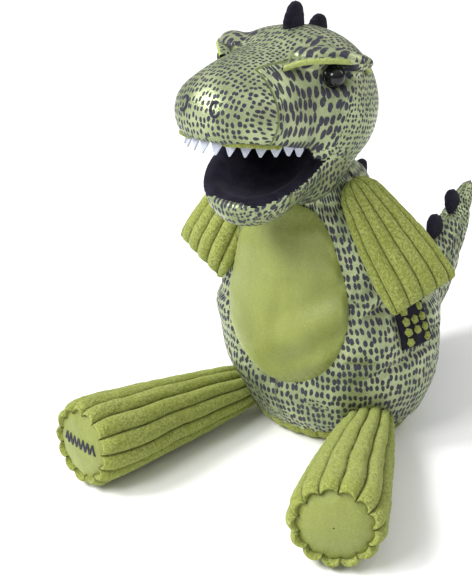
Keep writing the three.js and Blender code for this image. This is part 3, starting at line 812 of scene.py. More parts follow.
def build_torso():
    columns = 220
    heights = np.concatenate([np.linspace(8.5, 60, 26), np.linspace(62, 150, 44), np.linspace(152, 199, 26)])
    heights = np.interp(np.linspace(0, 1, 140), np.linspace(0, 1, len(heights)), heights)
    angle = np.linspace(0, 2 * np.pi, columns, endpoint=False)
    z, a = np.meshgrid(heights, angle, indexing="ij")
    z, a = z.ravel(), a.ravel()
    points = torso_at(a, z)
    out = noise3(points, 40, 1) * 1.0
    for side, sign in SIDES.items():
        root = np.array(ARM_ROOT[side], float)
        out -= 4.5 * np.exp(-(np.linalg.norm(points - root - [sign * 3, 0, -2], axis=1) / 15) ** 2)
        hip = np.array(LEG_ROOT[side], float)
        out -= 3.0 * np.exp(-(np.linalg.norm(points - hip - [sign * 4, -8, 2], axis=1) / 17) ** 2)
    tail = np.linalg.norm(points - np.array([0, 62, 40]), axis=1)
    out -= 3.0 * crease(tail - 27, 6)
    waist = 100 + 8 * np.sin(a - 0.4) + noise3(points, 30, 8) * 5
    away = np.abs(np.sin(a)) ** 1.5
    out -= 3.4 * crease(z - waist, 4.5) * away
    out += 2.4 * crease(z - waist - 11, 6) * away
    out += 2.8 * crease(z - waist + 13, 9) * away
    slanting = (z - 62) - 26 * np.sin(a - 0.9)
    out -= 2.2 * crease(slanting, 4) * smooth_step(0.5, 1.0, a) * (1 - smooth_step(1.5, 2.1, a))
    edge = belly_distance(points[:, 0], points[:, 2])
    front = points[:, 1] < torso_lean(z)
    out = np.where(front, out * smooth_step(0.02, 0.3, edge), out)
    out -= np.where(front, 1.8 * crease(edge, 0.055), 0)
    out -= np.where(front, 1.5 * smooth_step(158, 172, z), 0)
    under_chin = 2.5 + 2.4 * smooth_step(138, 162, z)
    out = np.where(front & (edge < 0), np.minimum(out, 0) - under_chin * smooth_step(0, 0.15, -edge), out)
    at_zip = 1 - smooth_step(12, 20, np.abs(a - ZIP_ANGLE) * torso_radius(z))
    at_zip *= smooth_step(66, 76, z) * (1 - smooth_step(150, 160, z))
    from_patch = np.maximum(np.abs(a - PATCH_ANGLE) * FLANK_RADIUS, np.abs(z - PATCH_Z))
    at_patch = 1 - smooth_step(1.0, 1.5, from_patch / PATCH_HALF)
    flat = np.maximum(at_zip, at_patch)
    out = out * (1 - flat) - 0.6 * flat
    gathers = np.sin(a * 46) * 0.7 * (1 - smooth_step(9, 22, z))
    points = torso_at(a, z, out + gathers)
    faces = grid_faces(len(heights), columns)
    piece = make_mesh("torso_cloth", points, faces, SCALE)
    radius = torso_radius(z)
    chart = np.stack([(a - np.pi) * 62, z, 0 * z], 1) / 1000
    seam_angle = np.minimum(np.abs(a - 0.62 * np.pi), np.abs(a - 1.38 * np.pi)) * radius
    spine = np.abs(a - np.pi) * radius
    seam = np.minimum(seam_angle, spine)
    set_print(piece, chart, chart, (seam + 0.05) / 1000, 0.42 + 0.16 * away, 0 * z)
    pins = np.maximum((z < 12) * 1.0, (z > 185) * 1.0)
    pins = np.maximum(pins, np.where(front, np.clip(1.2 - np.abs(edge) / 0.05, 0, 1), 0))
    pins = np.maximum(pins, np.where(front & (edge < 0), 1, 0))
    pins = np.maximum(pins, np.clip(1.0 - seam_angle / 3, 0, 0.7))
    pins = np.maximum(pins, flat)
    puff(piece, pins)
    return piece


def build_belly():
    rings, columns = ((64, 200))
    rho = np.linspace(0, 1, rings) ** 0.85
    a = np.linspace(0, 2 * np.pi, columns, endpoint=False)
    r, a = np.meshgrid(rho, a, indexing="ij")
    r, a = r.ravel(), a.ravel()
    flat = belly_outline(a)
    x = flat[:, 0] * r
    z = 110 + (flat[:, 1] - 110) * r
    angle = np.arcsin(np.clip(x / torso_radius(z), -0.99, 0.99))
    p = np.stack([x, z], 1)
    out = 2.6 * (1 - r ** 7) - 1.6 * r ** 24
    out += 0.9 * noise3(torso_at(angle, z), 38, 11) * (1 - r ** 4)
    out -= 5.2 * smooth_step(138, 162, z) * (1 - r ** 6)

    def fold(ax, az, bx, bz, width, height):
        d = np.array([bx - ax, bz - az], float)
        t = np.clip(((p - [ax, az]) @ d) / (d @ d), 0, 1)
        gap = np.linalg.norm(p - np.array([ax, az]) - t[:, None] * d, axis=1)
        return height * np.exp(-(gap / width) ** 2) * (1 - 0.8 * t) * np.clip((1 - r) * 14, 0, 1)

    out += fold(46, 112, -12, 68, 8, 4.2)
    out -= fold(46, 124, 2, 98, 6, 2.6)
    out -= fold(44, 92, 8, 64, 6, 1.8)
    out += fold(44, 133, 0, 128, 6, 3.2)
    out -= fold(42, 143, 8, 142, 5, 2.0)
    out += fold(36, 158, 2, 152, 5, 2.4)
    out += fold(34, 74, 4, 57, 5, 1.6)
    out += fold(-46, 104, -20, 92, 6, 1.2)
    out += 0.35 * np.sin(a * 60 + 2 * np.sin(a * 7)) * smooth_step(0.86, 0.98, r)
    points = torso_at(angle, z, out)
    faces = grid_faces(rings, columns)
    piece = make_mesh("belly_cloth", points, faces, VELOUR)
    pins = smooth_step(0.93, 0.99, r)
    puff(piece, pins, 12, 2.0, 0.03, 2.5)
    return piece


def build_seat():
    """The corduroy bottom: a flat disc whose wales run front to back and scallop its rolled rim."""
    columns = 200
    rows = np.array([
        (3, 0), (12, 0), (20, 0), (28, 0), (36, 0), (43, 0), (47, 0.4), (50.5, 1.6), (53.4, 3.6),
        (55.8, 6.2), (57.2, 8.6), (57.0, 10.4), (55.4, 11.4), (52.5, 11.2)], float)
    a = np.linspace(0, 2 * np.pi, columns, endpoint=False)
    k, a = np.meshgrid(np.arange(len(rows)), a, indexing="ij")
    k, a = k.ravel(), a.ravel()
    r, z = rows[k].T
    x = r * np.sin(a)
    y = -r * np.cos(a) * TORSO_DEPTH
    rib = np.abs(np.cos(np.pi * x / 12.5)) ** 0.6
    scallop = smooth_step(46, 56, r)
    push = (rib - 1) * 1.8
    x = x + np.sin(a) * push * scallop
    y = y - np.cos(a) * push * scallop
    z = z - push * (1 - scallop)
    points = np.stack([x, y, z], 1)
    points += noise3(points, 6, 4)[:, None] * 0.35 * np.stack([np.sin(a), -np.cos(a), 0 * a], 1)
    points[:, 2] = np.maximum(points[:, 2], 0.0)
    piece = make_mesh("seat_cloth", points, grid_faces(len(rows), columns)[:, ::-1], CORD)
    # the rib attribute also sets the corduroy's painted shade in the hollows between wales
    set_attribute(piece, "rib", rib)
    return piece


# ---------------------------------------------------------------- arms and legs

def limb_frame(root, end, twist=0):
    """The limb's own axes: across, front and up, with up from its end to its root."""
    root, end = np.array(root, float), np.array(end, float)
    up = unit(root - end)
    across = unit(np.cross([0, 0, 1], up))
    front = np.cross(up, across)
    c, s = math.cos(math.radians(twist)), math.sin(math.radians(twist))
    return root, np.stack([c * across + s * front, -s * across + c * front, up])


def ribbed_limb(name, root, axes, stations, wales, rib_height, columns, seed):
    """A ribbed tube. Each station is (distance from the joint, half-width, half-thickness, share of rib)."""
    stations = np.array(stations, float)
    length = run_length(stations[:, :3])
    rows = int(length[-1] / (1.25))
    along = np.linspace(0, length[-1], rows)
    s, half_width, half_thick, share = [np.interp(along, length, stations[:, i]) for i in range(4)]
    kernel = np.exp(-0.5 * (np.arange(-4, 5) / 1.8) ** 2)
    kernel /= kernel.sum()
    half_width, half_thick, share = [
        np.concatenate([v[:4], np.convolve(v, kernel, "valid"), v[-4:]])
        for v in (half_width, half_thick, share)]
    turn = np.linspace(0, 2 * np.pi, 721)
    wide = stations[-3]
    arc_steps = np.hypot(np.diff(np.cos(turn) * wide[1]), np.diff(np.sin(turn) * wide[2]))
    arc = np.concatenate([[0], np.cumsum(arc_steps)])
    u = np.linspace(0, 1, columns, endpoint=False)
    phi = np.interp(u, arc / arc[-1], turn)
    k, i = np.meshgrid(np.arange(rows), np.arange(columns), indexing="ij")
    k, i = k.ravel(), i.ravel()
    drift = 0.012 * np.sin(s[k] / 17 + seed) + 0.008 * np.sin(s[k] / 7 + 2 * seed)
    wave = np.abs(np.cos(np.pi * wales * (u[i] + drift / 4 + 0.5 / wales * 0.3)))
    rib = wave ** 0.5
    x, y = np.cos(phi[i]) * half_width[k], np.sin(phi[i]) * half_thick[k]
    nx, ny = np.cos(phi[i]) * half_thick[k], np.sin(phi[i]) * half_width[k]
    norm = np.hypot(nx, ny) + 1e-6
    nx, ny = nx / norm, ny / norm
    local = np.stack([x, y, -s[k]], 1)
    push = (rib - 1) * rib_height * share[k]
    push += 0.55 * noise3(local + seed * 9, 7, seed) + 0.28 * noise3(local, 2.6, seed + 1) * rib
    push += 0.9 * noise3(local, 30, seed + 2)
    local[:, 0] += nx * push
    local[:, 1] += ny * push
    points = root + local @ axes
    piece = make_mesh(name, points, grid_faces(rows, columns)[:, ::-1], CORD)
    # the rib attribute also sets the corduroy's painted shade in the hollows between wales
    set_attribute(piece, "rib", rib)
    return piece


def build_arm(side):
    root, axes = limb_frame(ARM_ROOT[side], ARM_END[side], ARM_TWIST[side])
    stations = [
        (-9, 4, 4, 0.3), (-6, 9, 8, 0.5), (0, 13, 11, 0.7), (12, 16, 12.5, 0.9),
        (28, 19.6, 13.8, 1), (42, 21.8, 14.2, 1), (55, 23.2, 13.2, 1), (64, 23.9, 10.8, 1.05),
        (70, 23.8, 7.6, 1.1), (73, 23, 4.2, 1), (74, 21.5, 0.6, 0.6)]
    seed = 1 if side == "left" else 2
    return ribbed_limb(f"arm_{side}_cloth", root, axes, stations, 10, 3.4, 220, seed)


def build_leg(side):
    root, axes = limb_frame(LEG_ROOT[side], LEG_END[side])
    stations = [
        (-12, 5, 5, 0.3), (-9, 10, 10, 0.5), (0, 15, 14.5, 0.8), (20, 18, 17.4, 1),
        (50, 21.8, 21, 1), (90, 25.8, 24.8, 1), (120, 28.2, 27.2, 1.05), (134, 29.0, 28, 1.2),
        (140, 28.2, 27.4, 1.35), (143.5, 26, 25.2, 1.4), (144, 24, 23.4, 1.2), (141.5, 22.6, 22, 0.8),
        (138, 22.4, 21.8, 0.5)]
    seed = 3 if side == "left" else 4
    return ribbed_limb(f"leg_{side}_cloth", root, axes, stations, 13, 3.7, 286, seed)


PAD_WIDTH = 23.6
PAD_HEIGHT = 22.8


def pad_dome(r):
    return 5.2 * (1 - r ** 3.2)


def build_foot_pad(side):
    """A domed round pad, pinched where it is sewn in."""
    root, axes = limb_frame(LEG_ROOT[side], LEG_END[side])
    rings, columns = 26, 120
    rho = np.linspace(0.02, 1, rings)
    a = np.linspace(0, 2 * np.pi, columns, endpoint=False)
    r, a = np.meshgrid(rho, a, indexing="ij")
    r, a = r.ravel(), a.ravel()
    seed = 5 if side == "left" else 6
    edge = 1 + 0.018 * np.sin(13 * a + seed) + 0.02 * np.sin(29 * a) * smooth_step(0.8, 1, r)
    x = np.cos(a) * r * PAD_WIDTH * edge
    y = np.sin(a) * r * PAD_HEIGHT * edge
    local = np.stack([x, y, -(139.6 + pad_dome(r))], 1)
    local[:, 2] += 0.7 * noise3(local, 14, seed) + 0.5 * np.sin(13 * a + seed) * smooth_step(0.7, 1, r)
    faces = grid_faces(rings, columns)[:, ::-1]
    return make_mesh(f"foot_pad_{side}_cloth", root + local @ axes, faces, VELOUR)


def stitched_line(name, path, width, height, slant, count, material, normal):
    """A row of satin stitches: short thick threads side by side along a path, lying on a surface."""
    path = np.array(path, float)
    length = run_length(path)

    def path_at(s):
        return np.array([np.interp(s, length, path[:, k]) for k in range(3)])

    points, faces = [], []
    ring = np.linspace(0, 2 * np.pi, 7, endpoint=False)
    for i in range(count):
        s = (i + 0.5) / count * length[-1]
        at = path_at(s)
        along = unit(path_at(min(s + 0.4, length[-1])) - path_at(max(s - 0.4, 0)))
        up = normal(at)
        across = np.cross(up, along)
        across = across * math.cos(slant) + along * math.sin(slant)
        thick = length[-1] / count * 0.62
        lean = np.cross(across, up)
        start = len(points)
        for t in np.linspace(-1, 1, 6):
            centre = at + across * t * width / 2 + up * height * (1 - t ** 4) - up * 0.35 * height
            size = thick * (1 - 0.55 * t ** 6)
            points += [centre + lean * math.cos(q) * size + up * math.sin(q) * size * 0.8 for q in ring]
        faces += (grid_faces(6, 7) + start).tolist()
    return make_mesh(name, points, faces, material)


def build_pad_stitching():
    """A plain zigzag sewn across the right foot's pad."""
    root, axes = limb_frame(LEG_ROOT["right"], LEG_END["right"])
    steps = np.linspace(-1, 1, 15)
    zigzag = [(14.5 * t, 3.2 * (1 if i % 2 else -1) + 1.5) for i, t in enumerate(steps)]
    path = []
    for (x0, y0), (x1, y1) in zip(zigzag, zigzag[1:]):
        for t in np.linspace(0, 1, 6, endpoint=False):
            x, y = x0 + (x1 - x0) * t, y0 + (y1 - y0) * t
            dome = pad_dome(math.hypot(x / PAD_WIDTH, y / PAD_HEIGHT))
            path.append(root + np.array([x, y, -(139.8 + dome)]) @ axes)
    return stitched_line("foot_pad_stitching", path, 1.7, 0.35, 0.5, 120, THREAD, lambda at: -axes[2])


# ---------------------------------------------------------------- tail

TAIL_POINTS = [(0, 46, 38), (0, 84, 43), (0, 122, 60), (0, 162, 88), (0, 189, 115)]
TAIL_LENGTH = 166
TAIL_RADII = np.array([
    (0, 30), (14, 29.5), (44, 26), (84, 20.5), (120, 13.5), (150, 7.5), (161, 4.8), (166, 0.6)], float)


def tail_line():
    """Points along the tail's middle, its directions, and the distance along it."""
    p = np.array([TAIL_POINTS[0]] + TAIL_POINTS + [TAIL_POINTS[-1]], float)
    p[0] = 2 * p[1] - p[2]
    p[-1] = 2 * p[-2] - p[-3]
    line = []
    for i in range(1, len(p) - 2):
        for t in np.linspace(0, 1, 24, endpoint=False):
            a, b, c, d = p[i - 1], p[i], p[i + 1], p[i + 2]
            line.append(0.5 * (2 * b + (c - a) * t + (2 * a - 5 * b + 4 * c - d) * t * t
                               + (3 * b - a - 3 * c + d) * t ** 3))
    line.append(p[-2])
    line = np.array(line)
    along = units(np.gradient(line, axis=0))
    distance = run_length(line)
    return line, along, distance * TAIL_LENGTH / distance[-1]


TAIL_LINE, TAIL_ALONG, TAIL_DISTANCE = tail_line()


def tail_frame(s):
    at = np.array([np.interp(s, TAIL_DISTANCE, TAIL_LINE[:, k]) for k in range(3)])
    along = np.array([np.interp(s, TAIL_DISTANCE, TAIL_ALONG[:, k]) for k in range(3)])
    return at, along, np.cross([1, 0, 0], along)


def tail_radius(s):
    return np.interp(s, TAIL_RADII[:, 0], TAIL_RADII[:, 1])


def build_tail():
    rows, columns = ((140, 130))
    s = TAIL_LENGTH * np.linspace(0, 1, rows) ** 0.94
    a = np.linspace(0, 2 * np.pi, columns, endpoint=False)
    points, chart = [], []
    for si in s:
        at, along, top = tail_frame(si)
        r = tail_radius(si)
        ring = at + r * (np.cos(a)[:, None] * top + np.sin(a)[:, None] * np.array([1.0, 0, 0]))
        points.append(ring)
        chart.append(np.stack([(a - np.pi) * max(r, 8), np.full(columns, si), np.zeros(columns)], 1))
    points, chart = np.concatenate(points), np.concatenate(chart)
    outward = points - np.repeat([tail_frame(si)[0] for si in s], columns, axis=0)
    outward /= np.linalg.norm(outward, axis=1)[:, None] + 1e-9
    a_all = np.tile(a, rows)
    s_all = np.repeat(s, columns)
    push = 0.9 * noise3(points, 24, 21) + 0.25 * noise3(points, 8, 22)
    under = np.abs(a_all - np.pi)
    push -= 1.2 * crease(under * tail_radius(s_all), 2.2)
    faces = grid_faces(rows, columns)[:, ::-1]
    piece = make_mesh("tail_cloth", points + outward * push[:, None], faces, SCALE)
    from_seams = np.minimum(under, np.minimum(a_all, 2 * np.pi - a_all)) * tail_radius(s_all)
    chart = chart / 1000
    set_print(piece, chart, chart, (from_seams + 0.05) / 1000, 0.5 - 0.2 * s_all / TAIL_LENGTH, 0 * s_all)
    pins = np.maximum(s_all < 24, s_all > 150) * 1.0
    puff(piece, pins, 10, 2.0, 0.03, 2.0)
    return piece


# ---------------------------------------------------------------- spikes

def build_spike(name, at, up, along, half, height, seed, thick=3.8):
    """A flat stuffed tongue: two faces sewn round their edge, standing on a surface."""
    up = unit(np.array(up, float))
    along = unit(np.array(along, float) - np.dot(along, up) * up)
    side = np.cross(along, up)
    rows, columns = 34, 56
    v = np.linspace(-0.32, 1, rows)
    a = np.linspace(0, 2 * np.pi, columns, endpoint=False)
    k, i = np.meshgrid(np.arange(rows), np.arange(columns), indexing="ij")
    v, a = v[k.ravel()], a[i.ravel()]
    dome = np.where(v > 0, np.sqrt(np.clip(1 - np.abs(v) ** 2.3, 0, 1)), 1 - 0.25 * v ** 2)
    waist = 1 - 0.14 * np.exp(-(v / 0.14) ** 2)
    c, s = np.cos(a), np.sin(a)
    edge = np.abs(c) ** 6
    x = np.sign(s) * np.abs(s) ** 0.85 * thick * dome ** 0.7 * waist
    y = c * half * dome * waist
    z = v * height
    pinch = 1 + 0.05 * edge * np.sin(v * 26 + seed)
    local = np.stack([x, y * pinch, z], 1)
    lumps = 0.5 * noise3(local + seed * 13, 7, seed) + 0.22 * noise3(local + seed * 5, 2.5, seed)
    local += lumps[:, None] * np.stack([s, c, 0 * c], 1)
    points = np.array(at, float) + local @ np.stack([side, along, up])
    return make_mesh(name, points, grid_faces(rows, columns), FELT)


def build_spikes():
    made = {}
    for i, (at, tilt, half, height) in enumerate(
            [((0, -6, 61), 4, 9.5, 18), ((0, 19, 60), -14, 9, 13), ((0, 43, 44), -56, 8, 15)]):
        up = turn_x(np.array([[0, 0, 1.0]]), HEAD_TILT + math.radians(tilt))[0]
        along = turn_x(np.array([[0, 1.0, 0]]), HEAD_TILT + math.radians(tilt))[0]
        made[f"crown_spike_{i + 1}"] = ("head", build_spike(
            f"crown_spike_{i + 1}_cloth", from_head([at])[0], up, along, half, height, 31 + i))
    for i, (z, half) in enumerate([(160, 9), (137, 10), (112, 10)]):
        at = torso_at(np.array([np.pi]), np.array([z]))[0]
        above = torso_at(np.array([np.pi]), np.array([z + 2.0]))[0]
        along = above - at
        up = np.cross([1, 0, 0], along)
        up = up if up[1] > 0 else -up
        made[f"back_spike_{i + 1}"] = ("torso", build_spike(
            f"back_spike_{i + 1}_cloth", at, up, along, half, 19, 41 + i))
    for i, (t, half) in enumerate([(0.3, 10), (0.48, 10), (0.66, 10), (0.84, 9)]):
        at, along, top = tail_frame(t * TAIL_LENGTH)
        r = tail_radius(t * TAIL_LENGTH)
        made[f"tail_spike_{i + 1}"] = ("tail", build_spike(
            f"tail_spike_{i + 1}_cloth", at + top * (r - 1.5), top, along, half, 18.5, 51 + i))
    return made


# ---------------------------------------------------------------- face

def build_teeth():
    """Felt teeth cut in one strip, hanging from inside the upper lip."""
    count, steps, rows = 15, 9, 7
    thickness = 1.25
    columns = count * steps + 1
    points, faces = [], []
    for layer in (0.0, thickness):
        for i in range(columns):
            t = i / steps - 0.5 * count
            share = t / (0.5 * count)
            a = share * math.radians(100)
            outward = np.array([math.sin(a), -math.cos(a)])
            wide = [math.sin(a) * (32.0 - layer), -34 - math.cos(a) * (43.6 - layer)]
            within = abs((i / steps) % 1 - 0.5) * 2
            drop = (1.6 + 9.4 * (1 - within) ** 0.92) * (1 - 0.42 * abs(share) ** 1.5)
            wave = 0.5 * math.sin(t * 2.4 + 1.3)
            for k in range(rows):
                d = drop * k / (rows - 1)
                x, y = np.array(wide) + outward * (d * 0.13 + wave * d / 10)
                points.append((x, y, 3.2 - d - lip_drop(y)))
    back = columns * rows

    def quad(a, b, c, d, flip):
        faces.append([d, c, b, a] if flip else [a, b, c, d])

    for base in (0, back):
        for i in range(columns - 1):
            for k in range(rows - 1):
                a, b = base + i * rows + k, base + (i + 1) * rows + k
                quad(a, b, b + 1, a + 1, base > 0)
    for i in range(columns - 1):
        for k, flip in ((0, True), (rows - 1, False)):
            a, b = i * rows + k, (i + 1) * rows + k
            quad(a, b, back + b, back + a, not flip)
    for i, flip in ((0, False), (columns - 1, True)):
        for k in range(rows - 1):
            a = i * rows + k
            quad(a, a + 1, back + a + 1, back + a, not flip)
    return make_mesh("teeth_felt", from_head(np.array(points)), faces, TEETH, smooth=False)


def build_eye(side):
    """A polished dome with a thin flange, set in a dimple of the cloth."""
    sign = SIDES[side]
    columns = 48
    profile = [(0.02, -6.2)]
    for t in np.linspace(0.05, 1, 16):
        profile.append((6.1 * math.sin(t * math.pi / 2), -6.2 * math.cos(t * math.pi / 2)))
    profile += [(6.6, 0.2), (6.9, 0.6), (6.9, 1.1), (6.5, 1.5), (5.0, 1.8), (2.0, 2.2), (0.02, 2.3)]
    profile = np.array(profile)
    a = np.linspace(0, 2 * np.pi, columns, endpoint=False)
    k, i = np.meshgrid(np.arange(len(profile)), np.arange(columns), indexing="ij")
    r, y = profile[k.ravel()].T
    local = np.stack([r * np.cos(a[i.ravel()]), y, r * np.sin(a[i.ravel()])], 1)
    local = turn_z(local, math.radians(60) * sign) + np.array([sign * 38, -15, 41])
    return make_mesh(f"eye_{side}_dome", from_head(local), grid_faces(len(profile), columns), EYE)


def build_brow(side):
    """A folded flap of cloth that stands out over the eye like an awning."""
    sign = SIDES[side]
    spine = np.array([
        (21, -44, 41), (27, -36, 46.5), (33.5, -26, 50.5), (39, -14, 52.5),
        (42, -3, 52.5), (42, 8, 50), (40, 15, 45)], float)
    outward = np.array([
        (0.35, -0.75, -0.2), (0.62, -0.6, -0.3), (0.85, -0.42, -0.4), (0.93, -0.24, -0.5),
        (0.9, -0.05, -0.6), (0.85, 0.1, -0.7), (0.7, 0.2, -0.9)], float)
    reach = np.array([0.5, 2.5, 5.0, 6.0, 6.5, 6.0, 3.0])
    rows = 60
    t = np.linspace(0, len(spine) - 1, rows)

    def along_spine(v):
        """The values spread along the brow's rows and evened out over nine of them."""
        v = np.interp(t, np.arange(len(spine)), v)
        return np.convolve(np.concatenate([np.full(4, v[0]), v, np.full(4, v[-1])]), np.ones(9) / 9, "valid")

    path = np.stack([along_spine(v) for v in spine.T], 1)
    out = units(np.stack([along_spine(v) for v in outward.T], 1))
    wide = along_spine(reach)
    columns = 34
    angle = np.linspace(0, 2 * np.pi, columns, endpoint=False)
    points, lip = [], []
    for i in range(rows):
        up = unit(np.array([0.0, 0.0, 1.0]) - out[i] * out[i][2])
        w = wide[i]
        for a in angle:
            along = math.cos(a)
            x = -6 + (along + 1) / 2 * (w + 6)
            thick = 2.1 * abs(math.sin(a)) ** 0.7 * (1 + 0.25 * along)
            lift = -0.028 * max(x, 0) ** 2 + 0.9 * math.exp(-((x - w) / 2.5) ** 2)
            points.append(path[i] + out[i] * x + up * (math.copysign(thick, math.sin(a)) + lift))
            lip.append(max(0.0, min(1.0, (x - w + 2.4) / 2.0)))
    points = np.array(points)
    points += 0.35 * noise3(points, 9, 61)[:, None] * np.array([0, 0, 1.0])
    points[:, 0] *= sign
    faces = grid_faces(rows, columns)
    if sign < 0:
        faces = faces[:, ::-1]
    piece = make_mesh(f"brow_{side}_cloth", from_head(points), faces, SCALE)
    chart = np.stack([points[:, 0], points[:, 1], 0 * points[:, 0]], 1) / 1000
    set_print(piece, chart, chart, np.full(len(points), -0.02), np.full(len(points), 0.25), np.array(lip))
    return piece


def on_head(x, z):
    """The head's surface straight back from the front at x and z of its own frame, and the way it faces."""
    y = np.linspace(-95, -40, 400)
    probe = from_head(np.stack([np.full(400, x), y, np.full(400, z)], 1))
    inside = head_field(probe) < 0
    at = probe[np.argmax(inside)]
    return at, unit(gradient(head_field, at[None])[0])


def build_nostril(side):
    """A half ring of thick stitches."""
    sign = SIDES[side]
    at, facing = on_head(sign * 10.5, 19)
    level = unit(np.cross(facing, [0, 0, 1.0]))
    rise = np.cross(level, facing)
    path = []
    for a in np.linspace(math.radians(-130), math.radians(120), 30):
        path.append(at + level * (2.6 * math.cos(a) * sign) + rise * 4.0 * math.sin(a) + facing * 0.15)
    return stitched_line(f"nostril_{side}_thread", path, 1.9, 0.5, 0.35, 26, THREAD, lambda p: facing)


# ---------------------------------------------------------------- patch, zip and label

def build_patch():
    """A square of dark felt with rows of short looped tufts."""
    n = 28
    u, v = np.meshgrid(np.linspace(-1, 1, n), np.linspace(-1, 1, n), indexing="ij")
    u, v = u.ravel(), v.ravel()
    angle = PATCH_ANGLE + u * PATCH_HALF / FLANK_RADIUS
    z = PATCH_Z + v * PATCH_HALF
    edge = np.maximum(np.abs(u), np.abs(v))
    out = 2.2 - 2.0 * smooth_step(0.9, 1.0, edge)
    points = torso_at(angle, z, out + 0.25 * noise3(torso_at(angle, z), 5, 71))
    felt = make_mesh("patch_felt", points, grid_faces(n, n, False), FELT)
    tuft_points, tuft_faces = [], []
    rows, columns = 12, 16
    for row in range(4):
        for column in range(3):
            if column == 1 and row in (0, 3):
                continue
            middle_u, middle_v = -0.56 + 0.56 * column, -0.66 + 0.44 * row
            tuft_faces += (grid_faces(rows, columns) + len(tuft_points)).tolist()
            for k in range(rows):
                t = k / (rows - 1) * math.pi * 0.62
                r = math.sin(t)
                for i in range(columns):
                    a = i / columns * 2 * math.pi
                    bump = 1 + 0.16 * math.sin(5 * a + row + 3 * t) * r
                    tuft_u = middle_u + r * math.cos(a) * 0.22 * bump
                    tuft_v = middle_v + r * math.sin(a) * 0.19 * bump
                    angle = np.array([PATCH_ANGLE + tuft_u * PATCH_HALF / FLANK_RADIUS])
                    z = np.array([PATCH_Z + tuft_v * PATCH_HALF])
                    tuft_points.append(torso_at(angle, z, 1.8 + 2.0 * math.cos(t))[0])
    tuft_points = np.array(tuft_points)
    tuft_points += 0.3 * np.stack([noise3(tuft_points, 2.2, 73 + i) for i in range(3)], 1)
    tufts = make_mesh("patch_tufts", tuft_points, tuft_faces, CORD)
    set_attribute(tufts, "rib", np.ones(len(tuft_points)))
    return felt, tufts


def zip_end(radius, z):
    """Where the zip crosses the torso's surface at a height."""
    y = -math.cos(ZIP_TURN) * radius * TORSO_DEPTH + float(torso_lean(z))
    return np.array([-math.sin(ZIP_TURN) * radius, y, z])


# The zip stands on the torso's straight flank: its own axes run across it, out of the cloth and up.
ZIP_TURN = math.radians(142)
ZIP_LOW = zip_end(*TORSO_PROFILE[5])
ZIP_HIGH = zip_end(*TORSO_PROFILE[6])
ZIP_RUN = np.linalg.norm(ZIP_HIGH - ZIP_LOW)
ZIP_UP = unit(ZIP_HIGH - ZIP_LOW)
ZIP_FACING = np.array([-math.sin(ZIP_TURN) * TORSO_DEPTH, -math.cos(ZIP_TURN), 0.0])
ZIP_OUT = unit(ZIP_FACING - ZIP_UP * (ZIP_FACING @ ZIP_UP))
ZIP_ACROSS = np.cross(ZIP_OUT, ZIP_UP)


def zip_place(across, out, up):
    return ZIP_LOW + ZIP_ACROSS * across + ZIP_OUT * out + ZIP_UP * up


def lay_on_torso(point, out):
    """Moves a point in or out until it stands out from the torso by the given distance."""
    x, y, z = point
    a = math.atan2(x, -(y - float(torso_lean(z))) / TORSO_DEPTH)
    return torso_at(np.array([a]), np.array([z]), out)[0]


def build_zip_tape():
    """A strip of felt down the flank, waving a little along its edges."""
    n, m = 44, 15
    half = 8
    points = []
    for k in range(n):
        up = -1.5 + (ZIP_RUN + 3) * k / (n - 1)
        for i in range(m):
            across = -half + 2 * half * i / (m - 1)
            edge = smooth_step(0.85, 1.0, max(abs(across) / half, abs(k / (n - 1) * 2 - 1)))
            out = 1.2 - 0.9 * edge + 0.2 * math.sin(k * 1.3) * (abs(across) / half)
            points.append(lay_on_torso(zip_place(across, 0, up), out))
    return make_mesh("zip_tape_cloth", points, grid_faces(n, m, False), FELT)


def build_zip_coil():
    """Two rows of interlocked loops."""
    points, faces = [], []
    count = 52
    ring = np.linspace(0, 2 * np.pi, 6, endpoint=False)
    for i in range(count):
        up = 2 + (ZIP_RUN - 6) * i / (count - 1)
        side = 1 if i % 2 else -1
        start = len(points)
        for t in np.linspace(0, 1, 6):
            across = side * (2.3 - 3.0 * t)
            centre = lay_on_torso(zip_place(across, 0, up), 1.7 + 0.5 * math.sin(t * math.pi))
            points += [centre + ZIP_UP * 0.42 * math.cos(q) + ZIP_OUT * 0.45 * math.sin(q) for q in ring]
        faces += (grid_faces(6, 6) + start).tolist()
    return make_mesh("zip_coil_loops", points, faces, THREAD)


def bevelled(name, outline, low, high, bevel, material):
    """A plate: an outline in the zip's across and up directions, from one height off the cloth to another."""
    outline = np.array(outline, float)
    centre = outline.mean(0)
    rows = [(low, 1 - bevel), (low + 0.25, 1.0), (high - 0.3, 1.0), (high, 1 - bevel)]
    points = []
    for out, size in rows:
        for across, up in centre + (outline - centre) * size:
            points.append(zip_place(across, out, up))
    count = len(outline)
    faces = grid_faces(4, count).tolist()
    faces += [list(range(count))[::-1], list(range(3 * count, 4 * count))]
    return make_mesh(name, points, faces, material, smooth=False)


def build_slider():
    """A waisted metal plate with a bridge that holds the pull."""
    top = ZIP_RUN - 2.5
    half_outline = [(3.9, 0), (4.1, 3.5), (2.6, 8), (2.4, 11)]
    outline = [(-x, top - down) for x, down in half_outline]
    outline += [(x, top - down) for x, down in half_outline[::-1]]
    body = bevelled("zip_slider_body", outline, 3.0, 6.4, 0.12, ZIP_METAL)
    outline = [(-1, top - 2), (-1, top - 9), (1, top - 9), (1, top - 2)]
    return body, bevelled("zip_slider_bridge", outline, 6.3, 8.2, 0.1, ZIP_METAL)


def build_pull():
    """A tongue of metal with rounded ends, hanging from the bridge."""
    low, high = ZIP_RUN - 24, ZIP_RUN - 8
    outline = []
    for a in np.linspace(0, math.pi, 9):
        outline.append((2.5 * math.cos(a), high - 2.5 + 2.5 * math.sin(a)))
    for a in np.linspace(math.pi, 2 * math.pi, 9):
        outline.append((2.2 * math.cos(a), low + 2.2 + 2.2 * math.sin(a)))
    return bevelled("zip_pull_plate", outline, 9.0, 10.5, 0.14, ZIP_METAL)


